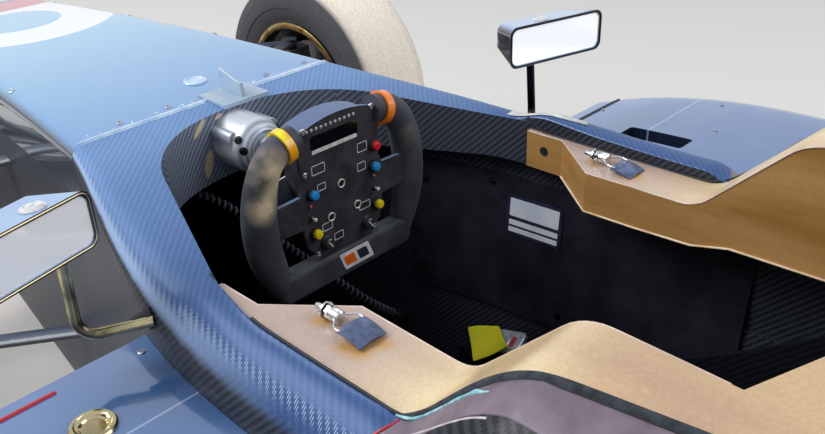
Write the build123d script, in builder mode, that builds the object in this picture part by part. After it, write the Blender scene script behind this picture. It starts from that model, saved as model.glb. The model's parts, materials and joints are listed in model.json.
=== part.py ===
# Open wheel racing car, single seat, with steered front wheels and four wheels that turn.
# Frame: X forwards, Y to the driver's left, Z up. The origin is on the ground under the middle
# of the car. Millimetres.
import os
from math import cos, pi, radians, sin, tan

from build123d import *

os.makedirs("parts", exist_ok=True)

# Main lengths of the car
front_end_x = 2150
rear_end_x = -2150
front_axle_x = 1150
wheelbase = 2750
rear_axle_x = front_axle_x - wheelbase
front_track = 1500
rear_track = 1456

# Wheels
front_tyre_radius = 270
front_tyre_width = 190
rear_tyre_radius = 288
rear_tyre_width = 250
bead_radius = 166
flange_radius = 174
tyre_wall = 13
hub_shaft_radius = 22
disc_radius = 118
disc_thick = 12

# Clearances: a piece beside its seat, a shaft in its bearing
seat_gap = 0.3
shaft_gap = 0.05

# Tub and panels
floor_low = 40
floor_thick = 8
floor_top = floor_low + floor_thick
hood_thick = 5
hood_rear_x = 480
hood_front_x = 1284
hood_side_low = 540
tub_front_x = 1290
tub_rear_x = -460
hump_foot_x = -118
hump_top_x = -238
hump_high = 677
axle_height_front = front_tyre_radius
axle_height_rear = rear_tyre_radius


def section_across(x, half_top, half_low, low, high, top_round, low_round):
    """One tub section: a trapezium across the car with its corners rounded."""
    with BuildSketch(Plane(origin=(x, 0, 0), x_dir=(0, 1, 0), z_dir=(1, 0, 0))) as section:
        with BuildLine():
            Polyline((-half_low, low), (half_low, low), (half_top, high), (-half_top, high), close=True)
        make_face()
        fillet(section.vertices().group_by(Axis.Y)[-1], top_round)
        fillet(section.vertices().group_by(Axis.Y)[0], low_round)
    return section.sketch


def loft_stations(stations, grow=0.0, ruled=False):
    """A body through a table of sections, grown or shrunk by one distance all round."""
    with BuildPart() as form:
        for x, half_top, half_low, low, high, top_round, low_round in stations:
            add(section_across(x, half_top + grow, half_low + grow, low - grow, high + grow,
                               top_round, low_round))
        loft(ruled=ruled)
    return form.part


# Tub sections
# x, half width at the top, half width at the bottom, bottom, top, top corner, bottom corner
tub_nose_stations = [
    (tub_front_x, 140, 122, 190, 600, 36, 40),
    (950, 160, 150, 105, 615, 26, 40),
    (hood_rear_x, 208, 198, floor_top, 611, 18, 30),
]
tub_cockpit_stations = [
    (hood_rear_x, 208, 198, floor_top, 611, 18, 30),
    (360, 247, 218, floor_top, 602, 32, 36),
    (230, 287, 240, floor_top, 592, 46, 42),
    (60, 313, 260, floor_top, 582, 58, 46),
    (hump_foot_x, 320, 266, floor_top, 579, 60, 46),
]
tub_hump_stations = [
    (hump_foot_x, 320, 266, floor_top, 579, 60, 46),
    (-160, 320, 266, floor_top, 617, 60, 46),
    (-200, 320, 266, floor_top, 657, 60, 46),
    (hump_top_x, 320, 266, floor_top, hump_high, 60, 46),
]
tub_rear_stations = [
    (hump_top_x, 320, 266, floor_top, hump_high, 60, 46),
    (tub_rear_x, 316, 266, floor_top, hump_high, 60, 46),
]
# The space inside, from the pedals to the seat's bulkhead
cockpit_floor = 78
bulkhead_x = -400
cockpit_stations = [
    (1200, 92, 88, 215, 430, 20, 20),
    (hood_rear_x, 168, 160, cockpit_floor, 515, 30, 30),
    (200, 250, 200, cockpit_floor, 532, 30, 40),
    (-60, 272, 222, cockpit_floor, 542, 30, 40),
    (bulkhead_x, 272, 222, cockpit_floor, 640, 30, 40),
]


def tub_form(grow=0.0):
    """The tub's outside as one body."""
    with BuildPart() as form:
        add(loft_stations(tub_nose_stations, grow))
        add(loft_stations(tub_cockpit_stations, grow))
        add(loft_stations(tub_hump_stations, grow))
        add(loft_stations(tub_rear_stations, grow, ruled=True))
    return form.part


def cockpit_form(grow=0.0):
    """The space inside the tub, without its opening."""
    return loft_stations(cockpit_stations, grow, ruled=True)


# The cockpit opening, seen from above: a blunt front arch, a knee, and sides that draw in at the back
opening_front_x = 444
opening_shoulder = (434, 68)
opening_knee = (338, 170)
opening_bend = (150, 240.5)
opening_side = (53, 258)
opening_hump = (-215, 258)
opening_rear = (bulkhead_x, 232)


def opening_sketch(inset=0.0):
    """The cockpit opening in plan, drawn smaller all round by the inset."""
    with BuildSketch() as opening:
        with BuildLine():
            (shoulder_x, shoulder_y), (knee_x, knee_y) = opening_shoulder, opening_knee
            front = ThreePointArc((shoulder_x, shoulder_y), (opening_front_x, 0), (shoulder_x, -shoulder_y))
            for mirrored, start in ((1, front.tangent_at(0) * -1), (-1, front.tangent_at(1))):
                wall_points = (opening_bend, opening_side, opening_hump, opening_rear)
                corners = [(x, mirrored * y) for x, y in wall_points]
                TangentArc((shoulder_x, mirrored * shoulder_y), (knee_x, mirrored * knee_y), tangent=start)
                wall = Line((knee_x, mirrored * knee_y), corners[0])
                TangentArc(corners[0], corners[1], tangent=wall.tangent_at(1))
                Polyline(*corners[1:], (bulkhead_x, 0))
        make_face()
        if inset:
            offset(amount=-inset)
    return opening.sketch


def opening_prism(inset, low, high):
    """The cockpit opening as an upright block between two heights."""
    with BuildPart() as prism:
        with BuildSketch(Plane.XY.offset(low)):
            add(opening_sketch(inset))
        extrude(amount=high - low)
    return prism.part


def box_between(x_low, x_high, y_low, y_high, z_low, z_high):
    """A block given by its lowest and highest corners."""
    centre = ((x_low + x_high) / 2, (y_low + y_high) / 2, (z_low + z_high) / 2)
    with BuildPart() as block:
        with BuildSketch(Plane.XY.offset(z_low)):
            with Locations(centre[:2]):
                Rectangle(x_high - x_low, y_high - y_low)
        extrude(amount=z_high - z_low)
    return block.part


def save(piece, name):
    """Labels a finished piece and writes it as its own file."""
    piece.label = name
    export_step(piece, f"parts/{name}.step")


tub_outside = tub_form()
tub_clearance = tub_form(seat_gap)
cockpit_space = cockpit_form()
opening_high = 800
opening_low = 400

# Steering rack: one bar across the car behind the front bulkhead, through a hole in each side
rack_x = front_axle_x + 105
rack_height = 300
rack_hole_radius = 20
rack_bar_radius = 9

# Monocoque: hollow tub with its cockpit opening and a recess that the hood panel sits in
with BuildPart() as hood_recess:
    add(box_between(hood_rear_x, hood_front_x, -300, 300, hood_side_low, 700))
    add(tub_form(-hood_thick), mode=Mode.SUBTRACT)
with BuildPart() as monocoque:
    add(tub_outside)
    add(cockpit_space, mode=Mode.SUBTRACT)
    add(opening_prism(0, opening_low, opening_high), mode=Mode.SUBTRACT)
    add(hood_recess.part, mode=Mode.SUBTRACT)
    with Locations(Location((rack_x, 0, rack_height), (90, 0, 0))):
        Cylinder(rack_hole_radius, 400, mode=Mode.SUBTRACT)
save(monocoque.part, "monocoque")

# Hood panel: a thin painted shell over the front of the tub
with BuildPart() as hood_panel:
    add(box_between(hood_rear_x + seat_gap, hood_front_x - seat_gap, -300, 300, hood_side_low + seat_gap, 700))
    add(tub_outside, mode=Mode.INTERSECT)
    add(tub_form(-(hood_thick - seat_gap)), mode=Mode.SUBTRACT)
save(hood_panel.part, "hood_panel")

# Deck fin: a foot plate on the joint of hood and tub, with a low upright blade
fin_foot_x = (441, 503)
fin_foot_y = (-59, 12)
fin_foot_high = 613.5
fin_blade_y = -24
fin_blade_thick = 6
fin_blade_round = 2.5
with BuildPart() as deck_fin:
    add(box_between(*fin_foot_x, *fin_foot_y, 595, fin_foot_high))
    with BuildSketch(Plane.XZ.offset(-fin_blade_y - fin_blade_thick / 2)):
        with BuildLine():
            Polyline((496, 600), (495, 645), (452, 632), (446, 600), close=True)
        make_face()
    extrude(amount=fin_blade_thick)
    fillet(deck_fin.edges().filter_by(Axis.Y, reverse=True).group_by(Axis.Z)[-1], fin_blade_round)
    add(tub_clearance, mode=Mode.SUBTRACT)
save(deck_fin.part, "deck_fin")

# Cockpit side panels: thin black boards on the inner walls beside the driver's legs
panel_thick = 5
panel_x = (-163, 320)
panel_z = (300, 500)
with BuildPart() as cockpit_panels:
    for side in (1, -1):
        y_range = sorted((side * 120, side * 300))
        add(box_between(*panel_x, *y_range, *panel_z))
    add(cockpit_form(-seat_gap), mode=Mode.INTERSECT)
    add(cockpit_form(-seat_gap - panel_thick), mode=Mode.SUBTRACT)
save(cockpit_panels.part, "cockpit_panels")

# Cockpit liner: stiff head and shoulder surround, one U round the driver, of golden cloth in resin
liner_front_x = 143
liner_flange_x = 89
liner_flange_half = 236
liner_shelf_x = 15
liner_half_inside = 176
liner_rear_half_inside = 188
liner_low = 528
liner_shelf_high = 577
liner_rear_low = 541
liner_back_x = opening_rear[0] + 45
with BuildPart() as cockpit_liner:
    with BuildSketch(Plane.XY.offset(liner_low)):
        add(opening_sketch(seat_gap))
        with BuildLine():
            Polyline((liner_front_x, -300), (600, -300), (600, 300), (liner_front_x, 300), close=True)
        make_face(mode=Mode.SUBTRACT)
        inner_edge = [
            (700, liner_flange_half), (liner_flange_x, liner_flange_half), (liner_shelf_x, liner_half_inside),
            (liner_back_x + 25, liner_rear_half_inside), (liner_back_x, 120),
        ]
        with BuildLine():
            Polyline(*inner_edge, *[(x, -y) for x, y in reversed(inner_edge)], close=True)
        make_face(mode=Mode.SUBTRACT)
    extrude(amount=250)
    with BuildSketch(Plane.XZ) as liner_side:
        with BuildLine():
            Polyline(
                (liner_front_x, liner_low), (liner_front_x, liner_shelf_high), (hump_foot_x, liner_shelf_high),
                (hump_foot_x - 100, hump_high), (bulkhead_x, hump_high), (bulkhead_x, liner_rear_low),
                (-160, liner_rear_low), (-110, liner_low), close=True,
            )
        make_face()
        fillet(liner_side.vertices().sort_by_distance((hump_foot_x, liner_shelf_high, 0))[0], 45)
        fillet(liner_side.vertices().sort_by_distance((hump_foot_x - 100, hump_high, 0))[0], 55)
    extrude(amount=400, both=True, mode=Mode.INTERSECT)
save(cockpit_liner.part, "cockpit_liner")

# Latch pins: one quick-release pin a side on the liner's shelf, with its wire loop and bent tag
latch_y = 209
latch_tip_x = 38
latch_washer_radius = 8
latch_tag_half = 16
latch_wire_radius = 1.2
latch_height = liner_shelf_high + seat_gap + latch_washer_radius
# rear end x, front end x, radius of each turned length: head, neck, washer, shank
latch_turnings = [(6, 18, 6.5), (18, 24, 3), (24, 26, latch_washer_radius), (26, latch_tip_x, 3.5)]
with BuildPart() as latch_pins:
    for side in (1, -1):
        for rear_x, front_x, radius in latch_turnings:
            with BuildSketch(Plane.YZ.offset(rear_x)):
                with Locations((side * latch_y, latch_height)):
                    Circle(radius)
            extrude(amount=front_x - rear_x)
        for reach in (1, -1):
            loop_y = side * latch_y
            with BuildLine() as wire:
                FilletPolyline((12, loop_y + reach * 5, latch_height), (4, loop_y + reach * 9, latch_height),
                               (0, loop_y + reach * 14, latch_height), (-9, loop_y + reach * 14, latch_height),
                               radius=3)
            with BuildSketch(Plane(origin=wire.line @ 0, z_dir=wire.line % 0)):
                Circle(latch_wire_radius)
            sweep(path=wire.line)
        with BuildSketch(Plane.XZ.offset(-side * latch_y)):
            with BuildLine():
                Polyline((-5, latch_height + 1.4), (-33, liner_shelf_high + 2.2),
                         (-33, liner_shelf_high + seat_gap), (-5, latch_height - 1.4), close=True)
            make_face()
        extrude(amount=latch_tag_half, both=True)
save(latch_pins.part, "latch_pins")

# Seat: a thin carbon bucket, laid back, that stands on the tub's floor
seat_half = 190
seat_wall = 8
seat_low = cockpit_floor + seat_gap
seat_high = liner_rear_low - 5
seat_edge_rear = (20, 290)
seat_edge_front = (215, 230)
with BuildPart() as seat:
    with BuildSketch(Plane.XZ) as seat_side:
        with BuildLine():
            Polyline(
                (-385, seat_high), (-345, seat_high), (-190, 420), seat_edge_rear, seat_edge_front,
                (seat_edge_front[0], seat_low), (-110, seat_low), (-250, 200), close=True,
            )
        make_face()
        fillet(seat_side.vertices().sort_by_distance((-110, seat_low, 0))[0], 60)
        fillet(seat_side.vertices().sort_by_distance((-190, 420, 0))[0], 80)
    extrude(amount=seat_half, both=True)
    with BuildSketch(Plane.XZ) as seat_hollow:
        with BuildLine():
            Polyline(
                (-375, 600), (0, 600), (300, 400), (300, seat_low + 50), (120, seat_low + seat_wall),
                (-104, seat_low + seat_wall), (-240, 208), (-371, 530), close=True,
            )
        make_face()
        fillet(seat_hollow.vertices().sort_by_distance((-104, seat_low + seat_wall, 0))[0], 52)
    extrude(amount=seat_half - seat_wall, both=True, mode=Mode.SUBTRACT)
    add(cockpit_form(-seat_gap), mode=Mode.INTERSECT)
save(seat.part, "seat")

# Harness buckle: a flat alloy box on the seat's right side edge, where the belt comes over
buckle_size = (66, 38, 9)
buckle_share = 0.6
buckle_y = -198
edge_run = Vector(seat_edge_front[0] - seat_edge_rear[0], 0, seat_edge_front[1] - seat_edge_rear[1])
edge_up = Vector(-edge_run.Z, 0, edge_run.X).normalized()
buckle_seat = Vector(seat_edge_rear[0], buckle_y, seat_edge_rear[1]) + edge_run * buckle_share
with BuildPart() as harness_buckle:
    with BuildSketch(Plane(origin=buckle_seat + edge_up * seat_gap, x_dir=edge_run, z_dir=edge_up)):
        RectangleRounded(buckle_size[0], buckle_size[1], 6)
    extrude(amount=buckle_size[2])
    fillet(harness_buckle.faces().sort_by(Axis.Z)[-1].edges(), 2)
save(harness_buckle.part, "harness_buckle")

# Column bracket: a machined plate with a domed boss on the dash arch, which carries the steering column
column_height = 574
column_radius = 11
bracket_face_x = 402
bracket_size = (76, 40)
bracket_high = 592
boss_height = column_height - 8
# x, radius of the boss, from the plate back towards the wheel
boss_stations = [(bracket_face_x, 38), (bracket_face_x - 12, 35), (bracket_face_x - 22, 26)]
with BuildPart() as column_bracket:
    with BuildSketch(Plane.YZ.offset(bracket_face_x)):
        with Locations((0, bracket_high - bracket_size[1] / 2)):
            RectangleRounded(*bracket_size, 6)
        with Locations((0, boss_height)):
            Circle(boss_stations[0][1])
    extrude(amount=60)
    add(opening_prism(seat_gap, opening_low, opening_high), mode=Mode.INTERSECT)
    for x, radius in boss_stations:
        with BuildSketch(Plane.YZ.offset(x)):
            with Locations((0, boss_height)):
                Circle(radius)
    loft()
    with BuildSketch(Plane.YZ.offset(boss_stations[-1][0] - 5)):
        with Locations((0, column_height)):
            Circle(column_radius + shaft_gap)
    extrude(amount=100, mode=Mode.SUBTRACT)
save(column_bracket.part, "column_bracket")

# Curly lead: it hangs between a socket under the dash and one on the right inner wall
lead_radius = 6.5
socket_radius = 9
socket_length = 60
lead_points = [
    (488, 77, 505), (473, 60, 499), (455, 35, 480), (441, 8, 450), (424, -20, 416), (402, -48, 380),
    (377, -74, 347), (354, -98, 315), (339, -124, 285), (333, -150, 260), (334, -176, 238),
]
lead_vectors = [Vector(*point) for point in lead_points]
with BuildPart() as cord_sockets:
    for end, inward in ((lead_vectors[0], lead_vectors[1]), (lead_vectors[-1], lead_vectors[-2])):
        with BuildSketch(Plane(origin=end, z_dir=end - inward)):
            Circle(socket_radius)
        extrude(amount=socket_length)
    add(cockpit_form(-seat_gap), mode=Mode.INTERSECT)
save(cord_sockets.part, "cord_sockets")
lead_radii = []
for before, corner, after in zip(lead_vectors, lead_vectors[1:], lead_vectors[2:]):
    half_turn = radians((corner - before).get_angle(after - corner) / 2)
    shorter_run = min((corner - before).length, (after - corner).length)
    lead_radii.append(0.45 * shorter_run / tan(half_turn))
print("lead radii", [round(radius) for radius in lead_radii])
with BuildPart() as curly_lead:
    with BuildLine() as lead_line:
        FilletPolyline(*lead_points, radius=lead_radii)
    with BuildSketch(Plane(origin=lead_line.line @ 0, z_dir=lead_line.line % 0)):
        Circle(lead_radius)
    sweep(path=lead_line.line)
lead_length = sum(edge.length for edge in lead_line.line.edges())
print("lead length", round(lead_length, 1))
print("volume over section", round(curly_lead.part.volume / (pi * lead_radius ** 2), 1))
save(curly_lead.part, "curly_lead")

# Steering wheel: face plate with its electronics box, two padded grips on a flat bottom bar, the hub
wheel_face_x = 235
face_thick = 5
box_depth = 34
hub_radius = 30
grip_middle_x = wheel_face_x + 8
grip_arm_length = 22
grip_arm_radius = 17
# out from the middle, height over the column, lean from straight down, half width, half depth
grip_stations = [
    (80, 58, 77, grip_arm_radius, grip_arm_radius),
    (100, 43, 42, 18.5, 16.5),
    (113, 14, 13, 21, 16),
    (118, -20, 2, 22.5, 16),
    (116, -56, -8, 22, 16),
    (107, -90, -20, 19, 15),
    (98, -114, -26, 15, 12),
]
bottom_bar_half = 108
bottom_bar_z = (-134, -97)
bottom_bar_x = (wheel_face_x - 5, wheel_face_x + 20)
bottom_bar_round = 7
thumb_ring_radius = 20.5
thumb_ring_width = 10


def plane_of_wheel(x):
    """An upright plane across the car: local x is Y and local y is height above the column."""
    return Plane(origin=(x, 0, column_height), x_dir=(0, 1, 0), z_dir=(1, 0, 0))


def plane_across_grip(side, station):
    """The plane square to a grip at one of its stations."""
    out, height, lean, _, _ = station
    along = (0, side * sin(radians(lean)), -cos(radians(lean)))
    return Plane(origin=(grip_middle_x, side * out, column_height + height), x_dir=(1, 0, 0), z_dir=along)


def bottom_bar_form(grow=0.0):
    """The flat padded bar that joins the grips below."""
    low, high = bottom_bar_z
    with BuildPart() as bar:
        with BuildSketch(plane_of_wheel(bottom_bar_x[0] - grow)):
            with Locations((0, (low + high) / 2)):
                RectangleRounded(2 * (bottom_bar_half + grow), high - low + 2 * grow, 14)
        extrude(amount=bottom_bar_x[1] - bottom_bar_x[0] + 2 * grow)
        fillet(bar.faces().filter_by(Axis.X).edges(), bottom_bar_round)
    return bar.part


def grip_form(grow=0.0):
    """The wheel's open rim: a short arm and a palm-shaped grip on each side, and the bottom bar."""
    with BuildPart() as form:
        for side in (1, -1):
            with BuildSketch(plane_across_grip(side, grip_stations[0])):
                Circle(grip_arm_radius + grow)
            extrude(amount=-grip_arm_length)
            for station in grip_stations:
                with BuildSketch(plane_across_grip(side, station)):
                    Ellipse(station[4] + grow, station[3] + grow)
            loft()
        add(bottom_bar_form(grow))
    return form.part


def thumb_ring_form(side):
    """One coloured band round the top of a grip, on its straight arm."""
    with BuildPart() as ring:
        with BuildSketch(plane_across_grip(side, grip_stations[0]).offset(-thumb_ring_width)):
            Circle(thumb_ring_radius)
            Circle(grip_arm_radius + seat_gap, mode=Mode.SUBTRACT)
        extrude(amount=thumb_ring_width)
    return ring.part


with BuildPart() as thumb_rings:
    add(thumb_ring_form(1))
    add(thumb_ring_form(-1))
save(thumb_rings.part, "thumb_rings")

# Face plate: an arched top, two spokes into the grips, and a pocket for the display
# out from the middle, height over the column
face_half_outline = [
    (60, 68), (61, 40), (60, 8), (64, -6), (116, -8), (116, -46), (63, -48), (57, -78), (40, -96),
]
face_arch_high = 79
display_size = (72, 18)
display_centre = (7, 52)
display_deep = 1.5
with BuildPart() as steering_face:
    with BuildSketch(plane_of_wheel(wheel_face_x)):
        with BuildLine():
            top_y, top_z = face_half_outline[0]
            ThreePointArc((top_y, top_z), (0, face_arch_high), (-top_y, top_z))
            Polyline(*face_half_outline, *[(-y, z) for y, z in reversed(face_half_outline)])
        make_face()
    extrude(amount=face_thick)
    with BuildSketch(plane_of_wheel(wheel_face_x + face_thick)):
        with BuildLine():
            ThreePointArc((52, 66), (0, face_arch_high - 3), (-52, 66))
            Polyline((-52, 66), (-54, 8), (-34, -60), (34, -60), (54, 8), (52, 66))
        make_face()
    extrude(amount=box_depth)
    with BuildSketch(plane_of_wheel(wheel_face_x)):
        with Locations(display_centre):
            RectangleRounded(*display_size, 3)
    extrude(amount=display_deep, mode=Mode.SUBTRACT)
    add(grip_form(seat_gap), mode=Mode.SUBTRACT)
    for side in (1, -1):
        with BuildSketch(plane_across_grip(side, grip_stations[0]).offset(-thumb_ring_width - seat_gap)):
            Circle(thumb_ring_radius + seat_gap)
        extrude(amount=thumb_ring_width + 2 * seat_gap, mode=Mode.SUBTRACT)
    with BuildSketch(plane_of_wheel(wheel_face_x + face_thick + 8)):
        Circle(hub_radius + seat_gap)
    extrude(amount=60, mode=Mode.SUBTRACT)
save(steering_face.part, "steering_face")
save(grip_form(), "steering_grips")

# Display glass in its pocket, and the buttons and knobs on the face
with BuildPart() as wheel_display:
    with BuildSketch(plane_of_wheel(wheel_face_x)):
        with Locations(display_centre):
            RectangleRounded(display_size[0] - 2 * seat_gap, display_size[1] - 2 * seat_gap, 3)
    extrude(amount=display_deep - seat_gap)
save(wheel_display.part, "wheel_display")
# left of the middle, height over the column, base radius, cap radius, how far it stands out
wheel_knobs = [
    (48, -7, 8, 6, 9),
    (-50, -6, 8, 6, 9),
    (48, -58, 8, 6, 9),
    (-52, -58, 8, 6, 9),
    (-52, 21, 8, 6, 9),
    (33, -77, 9, 7.5, 8),
    (-33, -77, 9, 7.5, 8),
    (3, -10, 5.5, 4.5, 4),
    (22, -47, 5.5, 4.5, 4),
    (-20, -47, 5.5, 4.5, 4),
    (51, -37, 3.5, 3, 7),
    (-50, -36, 3.5, 3, 7),
    (50, 18, 4, 3.5, 5),
]
knob_base_high = 2
with BuildPart() as wheel_controls:
    for left, height, base_radius, cap_radius, reach in wheel_knobs:
        with BuildSketch(plane_of_wheel(wheel_face_x - seat_gap)):
            with Locations((left, height)):
                Circle(base_radius)
        extrude(amount=-knob_base_high)
        with BuildSketch(plane_of_wheel(wheel_face_x - seat_gap - knob_base_high)):
            with Locations((left, height)):
                Circle(cap_radius)
        extrude(amount=knob_base_high - reach, taper=8)
save(wheel_controls.part, "wheel_controls")

# Hub and column, with a shift paddle on each side behind the box
paddle_x = wheel_face_x + face_thick + box_depth + 3
paddle_thick = 3
# out from the middle, height over the column
paddle_half_outline = [(20, 6), (58, 2), (92, -12), (95, -40), (72, -66), (44, -42), (20, -24)]
with BuildPart() as steering_hub:
    with BuildSketch(plane_of_wheel(wheel_face_x + face_thick + 8 + seat_gap)):
        Circle(hub_radius)
    extrude(amount=48)
    with BuildSketch(plane_of_wheel(wheel_face_x + 50)):
        Circle(column_radius)
    extrude(amount=opening_front_x - 6 - wheel_face_x - 50)
    for side in (1, -1):
        with BuildSketch(plane_of_wheel(paddle_x)) as paddle:
            with BuildLine():
                Polyline(*[(side * y, z) for y, z in paddle_half_outline], close=True)
            make_face()
            fillet(paddle.vertices().group_by(Axis.X)[-1 if side > 0 else 0], 8)
        extrude(amount=paddle_thick)
save(steering_hub.part, "steering_hub")


# Nose cone, from the front bulkhead down to a rounded tip
# x, half width at the top, half width at the bottom, bottom, top, top corner, bottom corner
nose_stations = [
    (tub_front_x + seat_gap, 140, 122, 190, 600, 36, 40),
    (1620, 116, 100, 190, 486, 42, 40),
    (1900, 90, 80, 186, 358, 40, 38),
    (2060, 62, 56, 190, 276, 30, 26),
]
with BuildPart() as nose_cone:
    add(loft_stations(nose_stations))
    fillet(nose_cone.faces().sort_by(Axis.X)[-1].edges(), 14)
save(nose_cone.part, "nose_cone")

# Front wing: a main plane and two flaps between end plates, hung from the nose on two pylons
# leading edge x, leading edge z, chord, nose-down angle, thickness share
front_wing_elements = [
    (2110, 92, 250, 3, 0.11),
    (1880, 112, 120, 18, 0.10),
    (1785, 158, 90, 32, 0.10),
]
front_wing_half = 690
wing_plate_thick = 8


def wing_section(lead_x, lead_z, chord, angle, share):
    """An aerofoil in the side view: two arcs from the leading edge back to the trailing edge."""
    run = (-cos(radians(angle)), sin(radians(angle)))
    up = (sin(radians(angle)), cos(radians(angle)))
    tail = (lead_x + run[0] * chord, lead_z + run[1] * chord)
    high = chord * share * 0.25
    low = -chord * share
    upper = (lead_x + run[0] * chord * 0.4 + up[0] * high, lead_z + run[1] * chord * 0.4 + up[1] * high)
    lower = (lead_x + run[0] * chord * 0.4 + up[0] * low, lead_z + run[1] * chord * 0.4 + up[1] * low)
    with BuildSketch(Plane.XZ) as section:
        with BuildLine():
            ThreePointArc((lead_x, lead_z), upper, tail)
            ThreePointArc((lead_x, lead_z), lower, tail)
        make_face()
    return section.sketch


with BuildPart() as front_wing:
    for element in front_wing_elements:
        extrude(wing_section(*element), amount=front_wing_half, dir=(0, 1, 0), both=True)
    for side in (1, -1):
        with BuildSketch(Plane.XZ.offset(-side * (front_wing_half + wing_plate_thick / 2))) as end_plate:
            with BuildLine():
                Polyline((1690, 60), (2120, 60), (front_end_x, 90), (front_end_x, 130), (2120, 190),
                         (1830, 250), (1690, 250), close=True)
            make_face()
            fillet(end_plate.vertices(), 14)
        extrude(amount=wing_plate_thick / 2, both=True)
        with BuildSketch(Plane.XZ.offset(-side * 58)):
            with BuildLine():
                Polyline((1890, 85), (2050, 85), (2020, 260), (1850, 260), close=True)
            make_face()
        extrude(amount=4, both=True)
    add(loft_stations(nose_stations, seat_gap), mode=Mode.SUBTRACT)
save(front_wing.part, "front_wing")


def strut(start, end, chord, thick):
    """A streamlined suspension leg: an ellipse pushed from one end to the other."""
    first = Vector(*start)
    last = Vector(*end)
    along = last - first
    with BuildPart() as leg:
        with BuildSketch(Plane(origin=first, x_dir=(1, 0, 0), z_dir=along.normalized())):
            Ellipse(chord / 2, thick / 2)
        extrude(amount=along.length)
    return leg.part


# Front suspension: upper and lower wishbones with a pushrod on each side
kingpin_y = 648
lower_joint_z = 165
upper_joint_z = 400
eye_radius = 17
eye_high = 22
kingpin_radius = 7
# inner end x, y, z, height of the outer joint
front_legs = [
    (625, 150, 255, lower_joint_z),
    (1262, 90, 215, lower_joint_z),
    (760, 120, 500, upper_joint_z),
    (1268, 90, 462, upper_joint_z),
]
pushrod_foot = (1135, 585, 190)
pushrod_head = (1110, 100, 520)
with BuildPart() as front_wishbones:
    for side in (1, -1):
        for inner_x, inner_y, inner_z, joint_z in front_legs:
            add(strut((front_axle_x, side * kingpin_y, joint_z), (inner_x, side * inner_y, inner_z), 30, 13))
        foot_x, foot_y, foot_z = pushrod_foot
        head_x, head_y, head_z = pushrod_head
        add(strut((foot_x, side * foot_y, foot_z), (head_x, side * head_y, head_z), 24, 18))
        for joint_z in (lower_joint_z, upper_joint_z):
            with BuildSketch(Plane.XY.offset(joint_z - eye_high / 2)):
                with Locations((front_axle_x, side * kingpin_y)):
                    Circle(eye_radius)
            extrude(amount=eye_high)
    for side in (1, -1):
        with BuildSketch(Plane.XY.offset(lower_joint_z - 60)):
            with Locations((front_axle_x, side * kingpin_y)):
                Circle(kingpin_radius + shaft_gap)
        extrude(amount=upper_joint_z - lower_joint_z + 120, mode=Mode.SUBTRACT)
        for joint_z in (lower_joint_z, upper_joint_z):
            for reach in (1, -1):
                with BuildSketch(Plane.XY.offset(joint_z + reach * eye_high / 2)):
                    with Locations((front_axle_x, side * kingpin_y)):
                        Circle(eye_radius + 6)
                extrude(amount=reach * 14, mode=Mode.SUBTRACT)
    add(tub_clearance, mode=Mode.SUBTRACT)
save(front_wishbones.part, "front_wishbones")


# Steering rack: a bar that slides across the car in a housing, with an eye at each end
rack_eye_radius = 17
rack_pin_radius = 7
rack_pin_play = 4.6
rack_eye_high = 12
rack_housing_half = 124
with BuildPart() as rack_housing:
    with BuildSketch(Plane.XZ):
        with Locations((rack_x, rack_height)):
            Circle(rack_hole_radius - seat_gap)
            Circle(rack_bar_radius + shaft_gap, mode=Mode.SUBTRACT)
    extrude(amount=rack_housing_half, both=True)
save(rack_housing.part, "rack_housing")
with BuildPart() as rack_bar:
    with BuildSketch(Plane.XZ):
        with Locations((rack_x, rack_height)):
            Circle(rack_bar_radius)
    extrude(amount=kingpin_y - 14, both=True)
    with BuildSketch(Plane.XY.offset(rack_height - rack_eye_high / 2)):
        with Locations((rack_x, kingpin_y), (rack_x, -kingpin_y)):
            Circle(rack_eye_radius)
    extrude(amount=rack_eye_high)
    with BuildSketch(Plane.XY.offset(rack_height - 20)):
        with Locations((rack_x, kingpin_y), (rack_x, -kingpin_y)):
            Circle(rack_pin_radius + rack_pin_play)
    extrude(amount=40, mode=Mode.SUBTRACT)
save(rack_bar.part, "rack_bar")


# Uprights, alike at both ends: a bearing body, a lug and pin at each wishbone eye, and a brake caliper
disc_inset = 26
disc_play = 5
caliper_radius = 134
caliper_half_width = 22
caliper_sweep = 55
upright_thick = 60
lug_high = 8


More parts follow.
